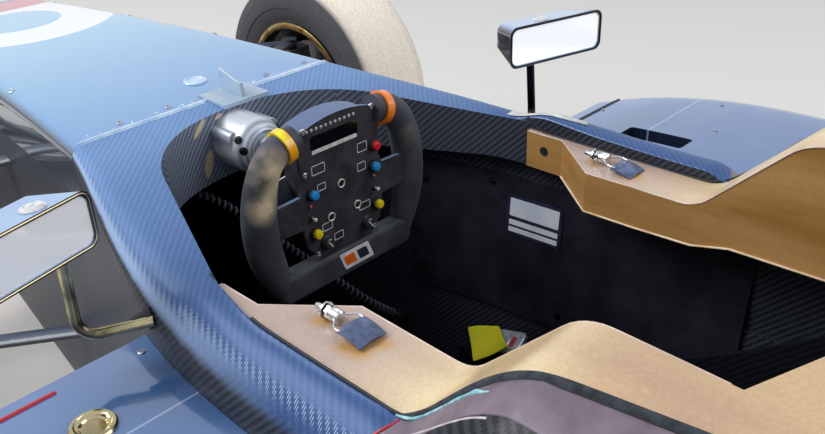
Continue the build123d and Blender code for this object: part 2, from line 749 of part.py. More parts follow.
def upright_form(side, axle_x, axle_z, wheel_y, joint_y, joint_low, joint_high, disc_y):
    """One upright, at rest, without the steering arm."""
    face_y = joint_y + 42
    axle = Axis((axle_x, 0, axle_z), (0, side, 0))
    pad = caliper_half_width
    with BuildPart() as upright:
        with BuildSketch(Plane.XZ.offset(-side * face_y)):
            with Locations((axle_x, axle_z)):
                Circle(hub_shaft_radius + 24)
            with BuildLine():
                Polyline(
                    (axle_x - 38, axle_z), (axle_x - 20, joint_high - 16), (axle_x + 20, joint_high - 16),
                    (axle_x + 38, axle_z), (axle_x + 20, joint_low + 16), (axle_x - 20, joint_low + 16),
                    close=True,
                )
            make_face()
        extrude(amount=side * upright_thick)
        for joint_z, reach in ((joint_low, 1), (joint_high, -1)):
            with BuildSketch(Plane.XY.offset(joint_z + reach * (eye_high / 2 + seat_gap))):
                with Locations((axle_x, side * (joint_y + 14))):
                    Rectangle(40, 56)
            extrude(amount=reach * lug_high)
            with BuildSketch(Plane.XY.offset(joint_z - reach * eye_high / 2)):
                with Locations((axle_x, side * joint_y)):
                    Circle(kingpin_radius)
            extrude(amount=reach * (eye_high + lug_high))
        with BuildSketch(Plane.XY.offset(axle_z)):
            with BuildLine():
                Polyline(
                    (axle_x - 76, side * (disc_y + pad)), (axle_x - caliper_radius, side * (disc_y + pad)),
                    (axle_x - caliper_radius, side * (face_y - 14)), (axle_x - 30, side * (face_y - 14)),
                    (axle_x - 30, side * face_y), (axle_x - 76, side * face_y), close=True,
                )
            make_face()
            with Locations((axle_x - disc_radius / 2 - disc_play / 2, side * disc_y)):
                Rectangle(disc_radius + disc_play, disc_thick + 2 * disc_play, mode=Mode.SUBTRACT)
        revolve(axis=axle, revolution_arc=caliper_sweep)
        with BuildSketch(Plane.XZ.offset(-side * (joint_y - 40))):
            with Locations((axle_x, axle_z)):
                Circle(hub_shaft_radius + shaft_gap)
        extrude(amount=-side * 120, mode=Mode.SUBTRACT)
    return upright.part


for side, name in ((1, "left"), (-1, "right")):
    with BuildPart() as upright_front:
        add(upright_form(side, front_axle_x, axle_height_front, front_track / 2, kingpin_y,
                         lower_joint_z, upper_joint_z, front_track / 2 - disc_inset))
        with BuildSketch(Plane.XY.offset(rack_height - rack_eye_high / 2 - 18)):
            with BuildLine():
                Polyline(
                    (front_axle_x - 10, side * (kingpin_y - 14)), (front_axle_x - 10, side * (kingpin_y + 28)),
                    (front_axle_x + 40, side * (kingpin_y + 28)), (rack_x, side * (kingpin_y + 14)),
                    (rack_x, side * (kingpin_y - 14)), close=True,
                )
            make_face()
            with Locations((rack_x, side * kingpin_y)):
                Circle(14)
        extrude(amount=12)
        with BuildSketch(Plane.XY.offset(rack_height - rack_eye_high / 2 - 12)):
            with Locations((rack_x, side * kingpin_y)):
                Circle(rack_pin_radius)
        extrude(amount=12 + rack_eye_high)
        with BuildSketch(Plane.XZ.offset(-side * (kingpin_y - 40))):
            with Locations((front_axle_x, axle_height_front)):
                Circle(hub_shaft_radius + shaft_gap)
        extrude(amount=-side * 120, mode=Mode.SUBTRACT)
    save(upright_front.part, f"upright_front_{name}")

# Rear suspension, which hangs on the gearbox
rear_joint_y = 590
rear_joint_low = 168
rear_joint_high = 408
with BuildPart() as rear_uprights:
    for side in (1, -1):
        add(upright_form(side, rear_axle_x, axle_height_rear, rear_track / 2, rear_joint_y,
                         rear_joint_low, rear_joint_high, rear_track / 2 - disc_inset - 14))
save(rear_uprights.part, "rear_uprights")

# Engine: one block bolted to the tub's back, then the gearbox with the driveshaft bosses
engine_rear_x = -980
engine_half = 205
engine_high = 420
with BuildPart() as engine_block:
    add(box_between(engine_rear_x, tub_rear_x, -engine_half, engine_half, floor_top + 8, engine_high))
    fillet(engine_block.edges().filter_by(Axis.X), 12)
save(engine_block.part, "engine_block")

gearbox_rear_x = -1850
# x, half width, bottom, top
gearbox_stations = [
    (engine_rear_x, 112, 95, 400),
    (-1480, 96, 130, 385),
    (gearbox_rear_x, 58, 185, 335),
]
shaft_boss_radius = 48
shaft_boss_y = 128
driveshaft_radius = 14


def tapered_case(stations, grow=0.0):
    """A box that narrows through plain sections: x, half width, bottom, top."""
    with BuildPart() as case:
        for x, half, low, high in stations:
            with BuildSketch(Plane(origin=(x, 0, 0), x_dir=(0, 1, 0), z_dir=(1, 0, 0))):
                with Locations((0, (low + high) / 2)):
                    RectangleRounded(2 * (half + grow), high - low + 2 * grow, 16)
        loft(ruled=True)
    return case.part


with BuildPart() as gearbox:
    add(tapered_case(gearbox_stations))
    with BuildSketch(Plane.XZ):
        with Locations((rear_axle_x, axle_height_rear)):
            Circle(shaft_boss_radius)
    extrude(amount=shaft_boss_y, both=True)
    for side in (1, -1):
        with BuildSketch(Plane.XZ.offset(-side * (shaft_boss_y + 1))):
            with Locations((rear_axle_x, axle_height_rear)):
                Circle(driveshaft_radius + shaft_gap)
        extrude(amount=side * 41, mode=Mode.SUBTRACT)
save(gearbox.part, "gearbox")

# inner end x, y, z, height of the outer joint
rear_legs = [
    (-1400, 60, 195, rear_joint_low),
    (-1785, 30, 235, rear_joint_low),
    (-1410, 60, 365, rear_joint_high),
    (-1775, 30, 320, rear_joint_high),
]
with BuildPart() as rear_wishbones:
    for side in (1, -1):
        for inner_x, inner_y, inner_z, joint_z in rear_legs:
            add(strut((rear_axle_x, side * rear_joint_y, joint_z), (inner_x, side * inner_y, inner_z), 30, 13))
        add(strut((rear_axle_x + 20, side * 530, 185), (-1500, side * 50, 392), 24, 18))
        for joint_z in (rear_joint_low, rear_joint_high):
            with BuildSketch(Plane.XY.offset(joint_z - eye_high / 2)):
                with Locations((rear_axle_x, side * rear_joint_y)):
                    Circle(eye_radius)
            extrude(amount=eye_high)
    for side in (1, -1):
        with BuildSketch(Plane.XY.offset(rear_joint_low - 60)):
            with Locations((rear_axle_x, side * rear_joint_y)):
                Circle(kingpin_radius + shaft_gap)
        extrude(amount=rear_joint_high - rear_joint_low + 120, mode=Mode.SUBTRACT)
        for joint_z in (rear_joint_low, rear_joint_high):
            for reach in (1, -1):
                with BuildSketch(Plane.XY.offset(joint_z + reach * eye_high / 2)):
                    with Locations((rear_axle_x, side * rear_joint_y)):
                        Circle(eye_radius + 6)
                extrude(amount=reach * 14, mode=Mode.SUBTRACT)
    add(tapered_case(gearbox_stations, seat_gap), mode=Mode.SUBTRACT)
save(rear_wishbones.part, "rear_wishbones")


# Wheels: a hollow tyre on a rim with ten spokes, and the hub with its brake disc
def tyre_form(axle_x, radius, wheel_y, width, bead_half):
    """A tyre open at its bore: crowned tread, rounded shoulders and bowed side walls."""
    half = width / 2
    middle = (flange_radius + radius) / 2
    with BuildPart() as tyre:
        with BuildSketch(Plane(origin=(axle_x, wheel_y, radius))):
            with BuildLine():
                Polyline((radius - tyre_wall, 0), (radius - tyre_wall - 2, half - 30))
                ThreePointArc((radius - tyre_wall - 2, half - 30),
                              (radius - tyre_wall - 12, half - tyre_wall - 6), (middle + 8, half - tyre_wall))
                Polyline((middle + 8, half - tyre_wall), (flange_radius, bead_half - tyre_wall),
                         (bead_radius, bead_half - tyre_wall), (bead_radius, bead_half),
                         (flange_radius + 2, bead_half))
                ThreePointArc((flange_radius + 2, bead_half), (middle, half), (radius - 18, half - 5))
                ThreePointArc((radius - 18, half - 5), (radius - 7, half - 11), (radius - 3, half - 24))
                ThreePointArc((radius - 3, half - 24), (radius - 0.8, half / 2.4), (radius, 0))
                Line((radius, 0), (radius - tyre_wall, 0))
            make_face()
            mirror(about=Plane.XZ)
        revolve(axis=Axis((axle_x, wheel_y, radius), (0, 1, 0)))
    return tyre.part


spoke_count = 10
barrel_thick = 6
drop_radius = 152


def rim_form(side, axle_x, radius, wheel_y, bead_half, face_inset):
    """A rim: barrel with a dropped centre and flanges, and a dished face cut into spokes."""
    edge = bead_half + 7
    seat_radius = bead_radius - seat_gap
    flange_inside = bead_half + seat_gap
    face_y = bead_half - face_inset
    with BuildPart() as rim:
        with BuildSketch(Plane(origin=(axle_x, wheel_y, radius))):
            with BuildLine():
                Polyline(
                    (flange_radius, edge), (flange_radius, flange_inside), (seat_radius, flange_inside),
                    (seat_radius, bead_half - 28), (drop_radius, bead_half - 42),
                    (drop_radius, 42 - bead_half), (seat_radius, 28 - bead_half),
                    (seat_radius, -flange_inside), (flange_radius, -flange_inside),
                    (flange_radius, -edge), (seat_radius - barrel_thick, -edge),
                    (seat_radius - barrel_thick, 28 - bead_half), (drop_radius - barrel_thick, 42 - bead_half),
                    (drop_radius - barrel_thick, bead_half - 42), (seat_radius - barrel_thick, bead_half - 28),
                    (seat_radius - barrel_thick, edge), close=True,
                )
            make_face()
            with BuildLine():
                Polyline(
                    (34, side * (face_y - 22)), (34, side * (face_y - 36)), (56, side * (face_y - 36)),
                    (drop_radius - 2, side * (face_y - 14)), (drop_radius - 2, side * face_y),
                    (56, side * (face_y - 20)), close=True,
                )
            make_face()
        revolve(axis=Axis((axle_x, wheel_y, radius), (0, 1, 0)))
        with BuildSketch(Plane.XZ.offset(-wheel_y)):
            with Locations((axle_x, radius)):
                with PolarLocations(102, spoke_count):
                    Trapezoid(66, 42, 74, rotation=90)
        extrude(amount=-side * bead_half, mode=Mode.SUBTRACT)
    return rim.part


def hub_form(side, axle_x, radius, wheel_y, bead_half, face_inset, disc_y, inner_y, inner_radius):
    """The turning hub: wheel nut, flange, bell and brake disc, and the shaft through the upright."""
    face_y = side * (bead_half - face_inset - 36 - seat_gap)
    nut_y = side * (bead_half - face_inset + 6)
    disc_inner = side * disc_y - wheel_y
    with BuildPart() as hub:
        with BuildSketch(Plane(origin=(axle_x, wheel_y, radius))):
            with BuildLine():
                Polyline(
                    (0, nut_y), (33.5, nut_y), (33.5, face_y), (62, face_y), (62, face_y - side * 8),
                    (66, face_y - side * 8), (66, disc_inner + disc_thick / 2 * side),
                    (disc_radius, disc_inner + disc_thick / 2 * side),
                    (disc_radius, disc_inner - disc_thick / 2 * side),
                    (58, disc_inner - disc_thick / 2 * side), (58, face_y - side * 8),
                    (hub_shaft_radius, face_y - side * 8), (hub_shaft_radius, side * inner_y - wheel_y),
                    (0, side * inner_y - wheel_y), close=True,
                )
            make_face()
        revolve(axis=Axis((axle_x, wheel_y, radius), (0, 1, 0)))
        if inner_radius:
            with BuildSketch(Plane.XZ.offset(-side * inner_y)):
                with Locations((axle_x, radius)):
                    Circle(inner_radius)
            extrude(amount=side * (inner_y - shaft_boss_y + 38))
    return hub.part


# name, side, axle x, radius, wheel middle y, tyre width, bead half width, face inset, disc y, shaft end y
wheel_table = [
    ("front_left", 1, front_axle_x, front_tyre_radius, front_track / 2, front_tyre_width, 82, 32,
     front_track / 2 - disc_inset, kingpin_y - 26, 0),
    ("front_right", -1, front_axle_x, front_tyre_radius, -front_track / 2, front_tyre_width, 82, 32,
     front_track / 2 - disc_inset, kingpin_y - 26, 0),
    ("rear_left", 1, rear_axle_x, rear_tyre_radius, rear_track / 2, rear_tyre_width, 112, 30,
     rear_track / 2 - disc_inset - 14, rear_joint_y - 26, driveshaft_radius),
    ("rear_right", -1, rear_axle_x, rear_tyre_radius, -rear_track / 2, rear_tyre_width, 112, 30,
     rear_track / 2 - disc_inset - 14, rear_joint_y - 26, driveshaft_radius),
]
for row in wheel_table:
    name, side, axle_x, radius, wheel_y, width, bead_half, face_inset, disc_y, shaft_y, inner_radius = row
    save(tyre_form(axle_x, radius, wheel_y, width, bead_half), f"tyre_{name}")
    save(rim_form(side, axle_x, radius, wheel_y, bead_half, face_inset), f"rim_{name}")
    save(hub_form(side, axle_x, radius, wheel_y, bead_half, face_inset, disc_y, shaft_y, inner_radius),
         f"hub_{name}")


# Floor: a stepped plate under the whole car with a wooden-look skid along its middle
floor_edge_half = 688
floor_rear_x = -1330
with BuildPart() as floor_plate:
    with BuildSketch(Plane.XY.offset(floor_low)) as floor_plan:
        with BuildLine():
            Polyline(
                (560, 190), (330, 330), (250, 560), (60, floor_edge_half), (-1080, floor_edge_half),
                (-1200, 560), (floor_rear_x, 560), (floor_rear_x, -560), (-1200, -560),
                (-1080, -floor_edge_half), (60, -floor_edge_half), (250, -560), (330, -330), (560, -190),
                close=True,
            )
        make_face()
        fillet(floor_plan.vertices().filter_by_position(Axis.X, -1250, 400), 60)
    extrude(amount=floor_thick)
    with BuildSketch(Plane.XY.offset(floor_low)):
        with Locations((-330, 0)):
            RectangleRounded(1760, 260, 60)
    extrude(amount=-15)
    add(tub_clearance, mode=Mode.SUBTRACT)
save(floor_plate.part, "floor")

# Engine cover: shoulders that meet the tub and a spine that runs back from the roll hoop
# x, bottom half, bottom z, shoulder half, shoulder z, deck half, deck z, neck half, neck z, top half, top z
cover_low = 430
cover_stations = [
    (tub_rear_x - seat_gap, 314, cover_low, 314, 604, 250, 676, 112, 712, 60, 932),
    (-900, 238, cover_low, 238, 540, 178, 602, 70, 650, 40, 858),
    (-1400, 140, cover_low, 140, 462, 104, 496, 40, 530, 18, 660),
]

# Sidepods: rounded bodies beside the tub, each with a radiator duct and a vent in its top
# x, outer y, top, top corner
pod_inner_y = 225
pod_stations = [
    (235, 587, 497, 40),
    (150, 655, 508, 50),
    (40, 690, 515, 55),
    (-220, 690, 517, 55),
    (-480, 690, 510, 55),
    (-900, 560, 430, 50),
    (-1240, 340, 330, 40),
]
duct_y = (335, 560)
duct_z = (120, 425)
duct_rear_x = -200
vent_x = (29, 127)
vent_y = (432, 470)
radiator_thick = 42


def pod_form(side):
    """One sidepod, seated on the floor and against the tub."""
    with BuildPart() as pod:
        for x, outer, high, top_round in pod_stations:
            with BuildSketch(Plane(origin=(x, 0, 0), x_dir=(0, side, 0), z_dir=(side, 0, 0))) as section:
                with BuildLine():
                    Polyline((pod_inner_y, floor_top), (outer, floor_top), (outer, high), (pod_inner_y, high),
                             close=True)
                make_face()
                corners = section.vertices().group_by(Axis.X)[-1]
                fillet(corners.sort_by(Axis.Y)[-1], top_round)
                fillet(section.vertices().group_by(Axis.X)[-1].sort_by(Axis.Y)[0], 20)
        loft()
        with BuildSketch(Plane(origin=(duct_rear_x, 0, 0), x_dir=(0, 1, 0), z_dir=(1, 0, 0))):
            with Locations((side * sum(duct_y) / 2, sum(duct_z) / 2)):
                RectangleRounded(duct_y[1] - duct_y[0], duct_z[1] - duct_z[0], 34)
        extrude(amount=600, mode=Mode.SUBTRACT)
        with BuildSketch(Plane.XY.offset(duct_z[1] - 30)):
            with Locations((sum(vent_x) / 2, side * sum(vent_y) / 2)):
                RectangleRounded(vent_x[1] - vent_x[0], vent_y[1] - vent_y[0], 5)
        extrude(amount=200, mode=Mode.SUBTRACT)
        add(tub_clearance, mode=Mode.SUBTRACT)
        with BuildSketch(Plane.XY.offset(cover_low - seat_gap)):
            with BuildLine():
                Polyline(
                    (cover_stations[0][0] + 20, 0),
                    *[(row[0], side * (row[3] + seat_gap)) for row in cover_stations],
                    (cover_stations[-1][0], 0), close=True,
                )
            make_face()
        extrude(amount=300, mode=Mode.SUBTRACT)
    return pod.part


save(pod_form(1), "sidepod_left")
save(pod_form(-1), "sidepod_right")

with BuildPart() as radiators:
    for side in (1, -1):
        with BuildSketch(Plane(origin=(duct_rear_x + seat_gap, 0, 0), x_dir=(0, 1, 0), z_dir=(1, 0, 0))):
            with Locations((side * sum(duct_y) / 2, sum(duct_z) / 2)):
                RectangleRounded(duct_y[1] - duct_y[0] - 2 * seat_gap, duct_z[1] - duct_z[0] - 2 * seat_gap, 34)
        extrude(amount=radiator_thick)
save(radiators.part, "radiators")

# Roll hoop: the arch behind the driver's head, which frames the air inlet
hoop_x = (-460, -408)
hoop_foot_half = 112
hoop_top_half = 62
hoop_high = 936
inlet_half = 46
inlet_z = (800, 905)
with BuildPart() as roll_hoop:
    with BuildSketch(Plane(origin=(hoop_x[0], 0, 0), x_dir=(0, 1, 0), z_dir=(1, 0, 0))) as hoop_face:
        with BuildLine():
            Polyline(
                (-hoop_foot_half, hump_high + seat_gap), (hoop_foot_half, hump_high + seat_gap),
                (hoop_top_half, hoop_high), (-hoop_top_half, hoop_high), close=True,
            )
        make_face()
        fillet(hoop_face.vertices().group_by(Axis.Y)[-1], 40)
        with Locations((0, sum(inlet_z) / 2)):
            RectangleRounded(2 * inlet_half, inlet_z[1] - inlet_z[0], 34, mode=Mode.SUBTRACT)
    extrude(amount=hoop_x[1] - hoop_x[0])
save(roll_hoop.part, "roll_hoop")

# Engine cover
# corner radii of the shoulder, deck, neck and top, for each station
cover_rounds = [(30, 40, 30, 36), (26, 34, 26, 28), (12, 20, 18, 12)]
inlet_depth = 230
with BuildPart() as engine_cover:
    for station, rounds in zip(cover_stations, cover_rounds):
        x, low_half, low, side_half, side_z, deck_half, deck_z, neck_half, neck_z, top_half, top = station
        half_outline = [(low_half, low), (side_half, side_z), (deck_half, deck_z), (neck_half, neck_z),
                        (top_half, top)]
        mirrored_outline = [(-y, z) for y, z in reversed(half_outline)]
        with BuildSketch(Plane(origin=(x, 0, 0), x_dir=(0, 1, 0), z_dir=(1, 0, 0))) as cover_section:
            with BuildLine():
                Polyline(*half_outline, *mirrored_outline, close=True)
            make_face()
            for (y, z), corner_round in zip(half_outline[1:], rounds):
                for mirrored in (1, -1):
                    corner = cover_section.vertices().sort_by_distance((mirrored * y, z, 0))[0]
                    fillet(corner, corner_round)
    loft(ruled=True)
    with BuildSketch(Plane(origin=(cover_stations[0][0] + 1, 0, 0), x_dir=(0, 1, 0), z_dir=(1, 0, 0))):
        with Locations((0, sum(inlet_z) / 2)):
            RectangleRounded(2 * inlet_half, inlet_z[1] - inlet_z[0], 34)
    extrude(amount=-inlet_depth, mode=Mode.SUBTRACT)
save(engine_cover.part, "engine_cover")

# Exhaust: one open pipe from the engine's back along the right side
exhaust_radius = 34
exhaust_wall = 3
with BuildPart() as exhaust:
    with BuildLine() as exhaust_line:
        FilletPolyline((engine_rear_x - seat_gap, -164, 330), (-1160, -164, 330), (-1390, -172, 380),
                       radius=180)
    with BuildSketch(Plane(origin=exhaust_line.line @ 0, z_dir=exhaust_line.line % 0)):
        Circle(exhaust_radius)
        Circle(exhaust_radius - exhaust_wall, mode=Mode.SUBTRACT)
    sweep()
save(exhaust.part, "exhaust")

# Diffuser: a rising sheet behind the floor with four upright fences below it
diffuser_rear_x = -1950
diffuser_rear_z = 170
diffuser_half = 470
with BuildPart() as diffuser:
    with BuildSketch(Plane.XZ):
        with BuildLine():
            Polyline(
                (floor_rear_x - seat_gap, floor_low), (floor_rear_x - seat_gap, floor_top),
                (diffuser_rear_x, diffuser_rear_z), (diffuser_rear_x, diffuser_rear_z - floor_thick),
                close=True,
            )
        make_face()
    extrude(amount=diffuser_half, both=True)
    for fence_y in (-466, -240, 240, 466):
        with BuildSketch(Plane.XZ.offset(-fence_y)):
            with BuildLine():
                Polyline(
                    (floor_rear_x - 60, floor_low + 14), (floor_rear_x - 60, floor_low + 2),
                    (diffuser_rear_x, 70), (diffuser_rear_x, diffuser_rear_z - 2), close=True,
                )
            make_face()
        extrude(amount=3, both=True)
save(diffuser.part, "diffuser")

# Crash structure behind the gearbox, with the red rain light on its end
crash_rear_x = -2080
crash_stations = [
    (gearbox_rear_x - seat_gap, 56, 188, 332),
    (crash_rear_x, 38, 222, 318),
]
with BuildPart() as crash_structure:
    add(tapered_case(crash_stations))
save(crash_structure.part, "crash_structure")
with BuildPart() as rain_light:
    with BuildSketch(Plane(origin=(crash_rear_x - seat_gap, 0, 0), x_dir=(0, 1, 0), z_dir=(1, 0, 0))):
        with Locations((0, 270)):
            RectangleRounded(64, 76, 8)
    extrude(amount=-18)
save(rain_light.part, "rain_light")

# Rear wing on its pylon
# leading edge x, leading edge z, chord, nose-down angle, thickness share
rear_wing_elements = [
    (-1890, 792, 190, 12, 0.13),
    (-2050, 850, 110, 34, 0.11),
]
rear_wing_half = 470
with BuildPart() as rear_wing:
    for element in rear_wing_elements:
        extrude(wing_section(*element), amount=rear_wing_half, dir=(0, 1, 0), both=True)
    for side in (1, -1):
        with BuildSketch(Plane.XZ.offset(-side * (rear_wing_half + wing_plate_thick / 2))) as end_plate:
            with BuildLine():
                Polyline((-1850, 640), (-1850, 860), (-1900, 925), (rear_end_x, 935), (rear_end_x, 700),
                         (-2060, 600), close=True)
            make_face()
            fillet(end_plate.vertices(), 20)
        extrude(amount=wing_plate_thick / 2, both=True)
save(rear_wing.part, "rear_wing")

with BuildPart() as rear_wing_pylon:
    for side in (1, -1):
        with BuildSketch(Plane.XZ.offset(-side * 30)):
            with BuildLine():
                Polyline((-1890, 300), (-2010, 300), (-2010, 420), (-2040, 640), (-2030, 813), (-1930, 793),
                         (-1930, 620), close=True)
            make_face()
        extrude(amount=3, both=True)
    add(tapered_case(crash_stations, seat_gap), mode=Mode.SUBTRACT)
    extrude(offset(wing_section(*rear_wing_elements[0]), amount=seat_gap), amount=60, dir=(0, 1, 0), both=True,
            mode=Mode.SUBTRACT)
save(rear_wing_pylon.part, "rear_wing_pylon")

# Mirrors: a housing and glass on a bent stalk each side, turned in towards the driver
mirror_centre = (205, 383, 649)
mirror_turn = 14.8
mirror_size = (154, 50)
mirror_depth = 52
mirror_lip = 4
glass_thick = 3
stalk_radius = 5.5
stalk_points = [(222, 346), (219, 349, 540), (180, 292, 547)]


def mirror_plane(side, ahead):
    """The plane of one mirror's glass, moved forwards by a distance."""
    turn = radians(mirror_turn) * side
    normal = Vector(cos(turn), sin(turn), 0)
    centre = Vector(mirror_centre[0], side * mirror_centre[1], mirror_centre[2])
    return Plane(origin=centre + normal * ahead, x_dir=(-sin(turn), cos(turn), 0), z_dir=normal)


with BuildPart() as mirror_housings:
    for side in (1, -1):
        with BuildSketch(mirror_plane(side, 0)):
            RectangleRounded(mirror_size[0] + 2 * mirror_lip, mirror_size[1] + 2 * mirror_lip, 12)
        with BuildSketch(mirror_plane(side, mirror_depth)):
            RectangleRounded(mirror_size[0] - 26, mirror_size[1] - 8, 12)
        loft()
        with BuildSketch(mirror_plane(side, -1)):
            RectangleRounded(mirror_size[0], mirror_size[1], 10)
        extrude(amount=6, mode=Mode.SUBTRACT)
save(mirror_housings.part, "mirror_housings")
with BuildPart() as mirror_glasses:
    for side in (1, -1):
        with BuildSketch(mirror_plane(side, 5 - seat_gap - glass_thick)):
            RectangleRounded(mirror_size[0] - 2 * seat_gap, mirror_size[1] - 2 * seat_gap, 10)
        extrude(amount=glass_thick)
save(mirror_glasses.part, "mirror_glasses")
stalk_top = mirror_centre[2] - mirror_size[1] / 2 - mirror_lip - seat_gap
with BuildPart() as mirror_stalks:
    for side in (1, -1):
        top_x, top_y = stalk_points[0]
        with BuildLine() as stalk_line:
            FilletPolyline(
                (top_x, side * top_y, stalk_top),
                *[(x, side * y, z) for x, y, z in stalk_points[1:]],
                radius=18,
            )
        with BuildSketch(Plane(origin=stalk_line.line @ 0, z_dir=stalk_line.line % 0)):
            Circle(stalk_radius)
        sweep(path=stalk_line.line)
    add(tub_clearance, mode=Mode.SUBTRACT)
save(mirror_stalks.part, "mirror_stalks")
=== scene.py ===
import json
from math import cos, pi, radians, sin

import bmesh
import bpy
from mathutils import Matrix, Vector, noise
from mathutils.bvhtree import BVHTree

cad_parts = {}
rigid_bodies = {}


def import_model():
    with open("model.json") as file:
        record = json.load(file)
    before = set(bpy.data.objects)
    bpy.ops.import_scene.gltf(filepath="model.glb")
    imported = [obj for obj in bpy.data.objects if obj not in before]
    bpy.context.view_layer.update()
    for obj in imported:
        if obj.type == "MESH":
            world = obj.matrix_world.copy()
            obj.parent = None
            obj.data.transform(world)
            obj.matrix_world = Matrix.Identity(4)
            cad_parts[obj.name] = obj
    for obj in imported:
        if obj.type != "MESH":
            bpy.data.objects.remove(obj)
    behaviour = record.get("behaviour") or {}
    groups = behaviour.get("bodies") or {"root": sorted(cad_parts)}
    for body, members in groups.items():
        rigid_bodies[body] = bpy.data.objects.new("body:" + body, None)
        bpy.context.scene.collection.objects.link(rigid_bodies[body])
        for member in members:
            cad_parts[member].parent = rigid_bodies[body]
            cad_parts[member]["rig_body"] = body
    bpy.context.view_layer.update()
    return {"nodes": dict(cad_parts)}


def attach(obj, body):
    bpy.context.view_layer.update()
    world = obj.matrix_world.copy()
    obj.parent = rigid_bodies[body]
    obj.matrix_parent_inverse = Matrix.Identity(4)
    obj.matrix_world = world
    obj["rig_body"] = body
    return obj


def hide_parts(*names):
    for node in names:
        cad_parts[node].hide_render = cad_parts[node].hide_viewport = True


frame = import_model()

# The camera stands behind the driver's left shoulder, a little above the roll hoop, and looks
# forwards and down across the cockpit at the right front wheel. Place, turn and lens were fitted
# to the photograph with the wheel and the cockpit's rim as scale.
camera_place = Vector((-0.47477, 0.60397, 1.01529))
camera_yaw = -45.357
camera_pitch = -28.383
camera_roll = -2.272
camera_lens = 38.18

yaw, pitch, roll = radians(camera_yaw), radians(camera_pitch), radians(camera_roll)
ahead = Vector((cos(pitch) * cos(yaw), cos(pitch) * sin(yaw), sin(pitch)))
level_right = ahead.cross(Vector((0, 0, 1))).normalized()
level_up = level_right.cross(ahead)
right = cos(roll) * level_right + sin(roll) * level_up
up = cos(roll) * level_up - sin(roll) * level_right
camera = bpy.data.objects.new("camera", bpy.data.cameras.new("camera"))
bpy.context.scene.collection.objects.link(camera)
camera.matrix_world = Matrix((right, up, -ahead)).transposed().to_4x4()
camera.location = camera_place
camera.data.lens = camera_lens
camera.data.sensor_width = 36
camera.data.clip_start = 0.02
bpy.context.scene.camera = camera


# Studio: a pale seamless floor under an even pale sky, one wide soft lamp ahead on the left for the
# bright side, and a weaker one behind on the right. The sky is a little cool, as an open shade is.
def linear(hex_colour):
    """A written sRGB colour as the linear values that a shader takes."""
    parts = [int(hex_colour[i:i + 2], 16) / 255 for i in (1, 3, 5)]
    return [c / 12.92 if c <= 0.04045 else ((c + 0.055) / 1.055) ** 2.4 for c in parts] + [1.0]


def add_node(tree, kind, inputs=None, **settings):
    """One shader node. Each input is a value, an earlier node, or a node and its output's name."""
    made = tree.nodes.new("ShaderNode" + kind)
    for name, value in settings.items():
        setattr(made, name, value)
    for socket, given in (inputs or {}).items():
        source, output = given if isinstance(given, tuple) and len(given) == 2 else (given, 0)
        if isinstance(source, bpy.types.Node):
            tree.links.new(source.outputs[output], made.inputs[socket])
        else:
            made.inputs[socket].default_value = given
    return made


sky_colour = "#e6ebf1"
fill_strength, seen_strength = 0.62, 1.0
world = bpy.data.worlds.new("studio_sky")
bpy.context.scene.world = world
world.use_nodes = True
tree = world.node_tree
tree.nodes.clear()
light_path = add_node(tree, "LightPath")
seen_or_glossy = add_node(tree, "Math", {0: (light_path, "Is Camera Ray"),
                                         1: (light_path, "Is Glossy Ray")}, operation="MAXIMUM")
seen = add_node(tree, "Math", {0: seen_or_glossy, 1: (light_path, "Is Transmission Ray")},
                operation="MAXIMUM")
fill_sky = add_node(tree, "Background", {"Color": linear(sky_colour), "Strength": fill_strength})
seen_sky = add_node(tree, "Background", {"Color": linear(sky_colour), "Strength": seen_strength})
mixed_sky = add_node(tree, "MixShader", {0: seen, 1: fill_sky, 2: seen_sky})
add_node(tree, "OutputWorld", {"Surface": mixed_sky})

# place, aim, width, power in watts
lamps = [
    ((3.0, 2.6, 4.2), (0.2, 0.0, 0.5), 3.0, 230),
    ((-3.4, -3.0, 3.6), (-0.3, 0.0, 0.4), 3.5, 110),
]
for index, (place, aim, width, power) in enumerate(lamps):
    lamp = bpy.data.objects.new(f"lamp_{index}", bpy.data.lights.new(f"lamp_{index}", "AREA"))
    bpy.context.scene.collection.objects.link(lamp)
    lamp.data.size = width
    lamp.data.energy = power
    lamp.location = place
    lamp.rotation_euler = (Vector(aim) - Vector(place)).to_track_quat("-Z", "Y").to_euler()

floor_half = 60
floor_mesh = bmesh.new()
bmesh.ops.create_grid(floor_mesh, x_segments=1, y_segments=1, size=floor_half)
floor = bpy.data.objects.new("studio_floor", bpy.data.meshes.new("studio_floor"))
floor_mesh.to_mesh(floor.data)
bpy.context.scene.collection.objects.link(floor)
paper = bpy.data.materials.new("matt_studio_paper")
paper.use_nodes = True
shader = paper.node_tree.nodes["Principled BSDF"]
shader.inputs["Base Color"].default_value = linear("#dcdad6")
shader.inputs["Roughness"].default_value = 0.9
floor.data.materials.append(paper)
bpy.context.scene.view_settings.view_transform = "Standard"


# Curly lead: the wheel's wiring, a coiled cord in a black jacket that hangs between a socket under
# the dash and one on the right inner wall. It was wound on a rod and set, so it springs back.
def new_surface(name, colour, roughness, metallic=0.0, **sockets):
    """A material with its shader set, and the object coordinates that its patterns read."""
    material = bpy.data.materials.new(name)
    material.use_nodes = True
    tree = material.node_tree
    shader = tree.nodes["Principled BSDF"]
    shader.inputs["Base Color"].default_value = linear(colour)
    shader.inputs["Roughness"].default_value = roughness
    shader.inputs["Metallic"].default_value = metallic
    for socket, value in sockets.items():
        shader.inputs[socket.replace("_", " ")].default_value = value
    place = add_node(tree, "TexCoord")
    return material, tree, shader, place


def relief(shader, pattern, depth_mm):
    """A bump of the given depth, from an earlier pattern."""
    tree = shader.id_data
    bump = add_node(tree, "Bump", {"Height": pattern, "Distance": depth_mm / 1000})
    tree.links.new(bump.outputs[0], shader.inputs["Normal"])


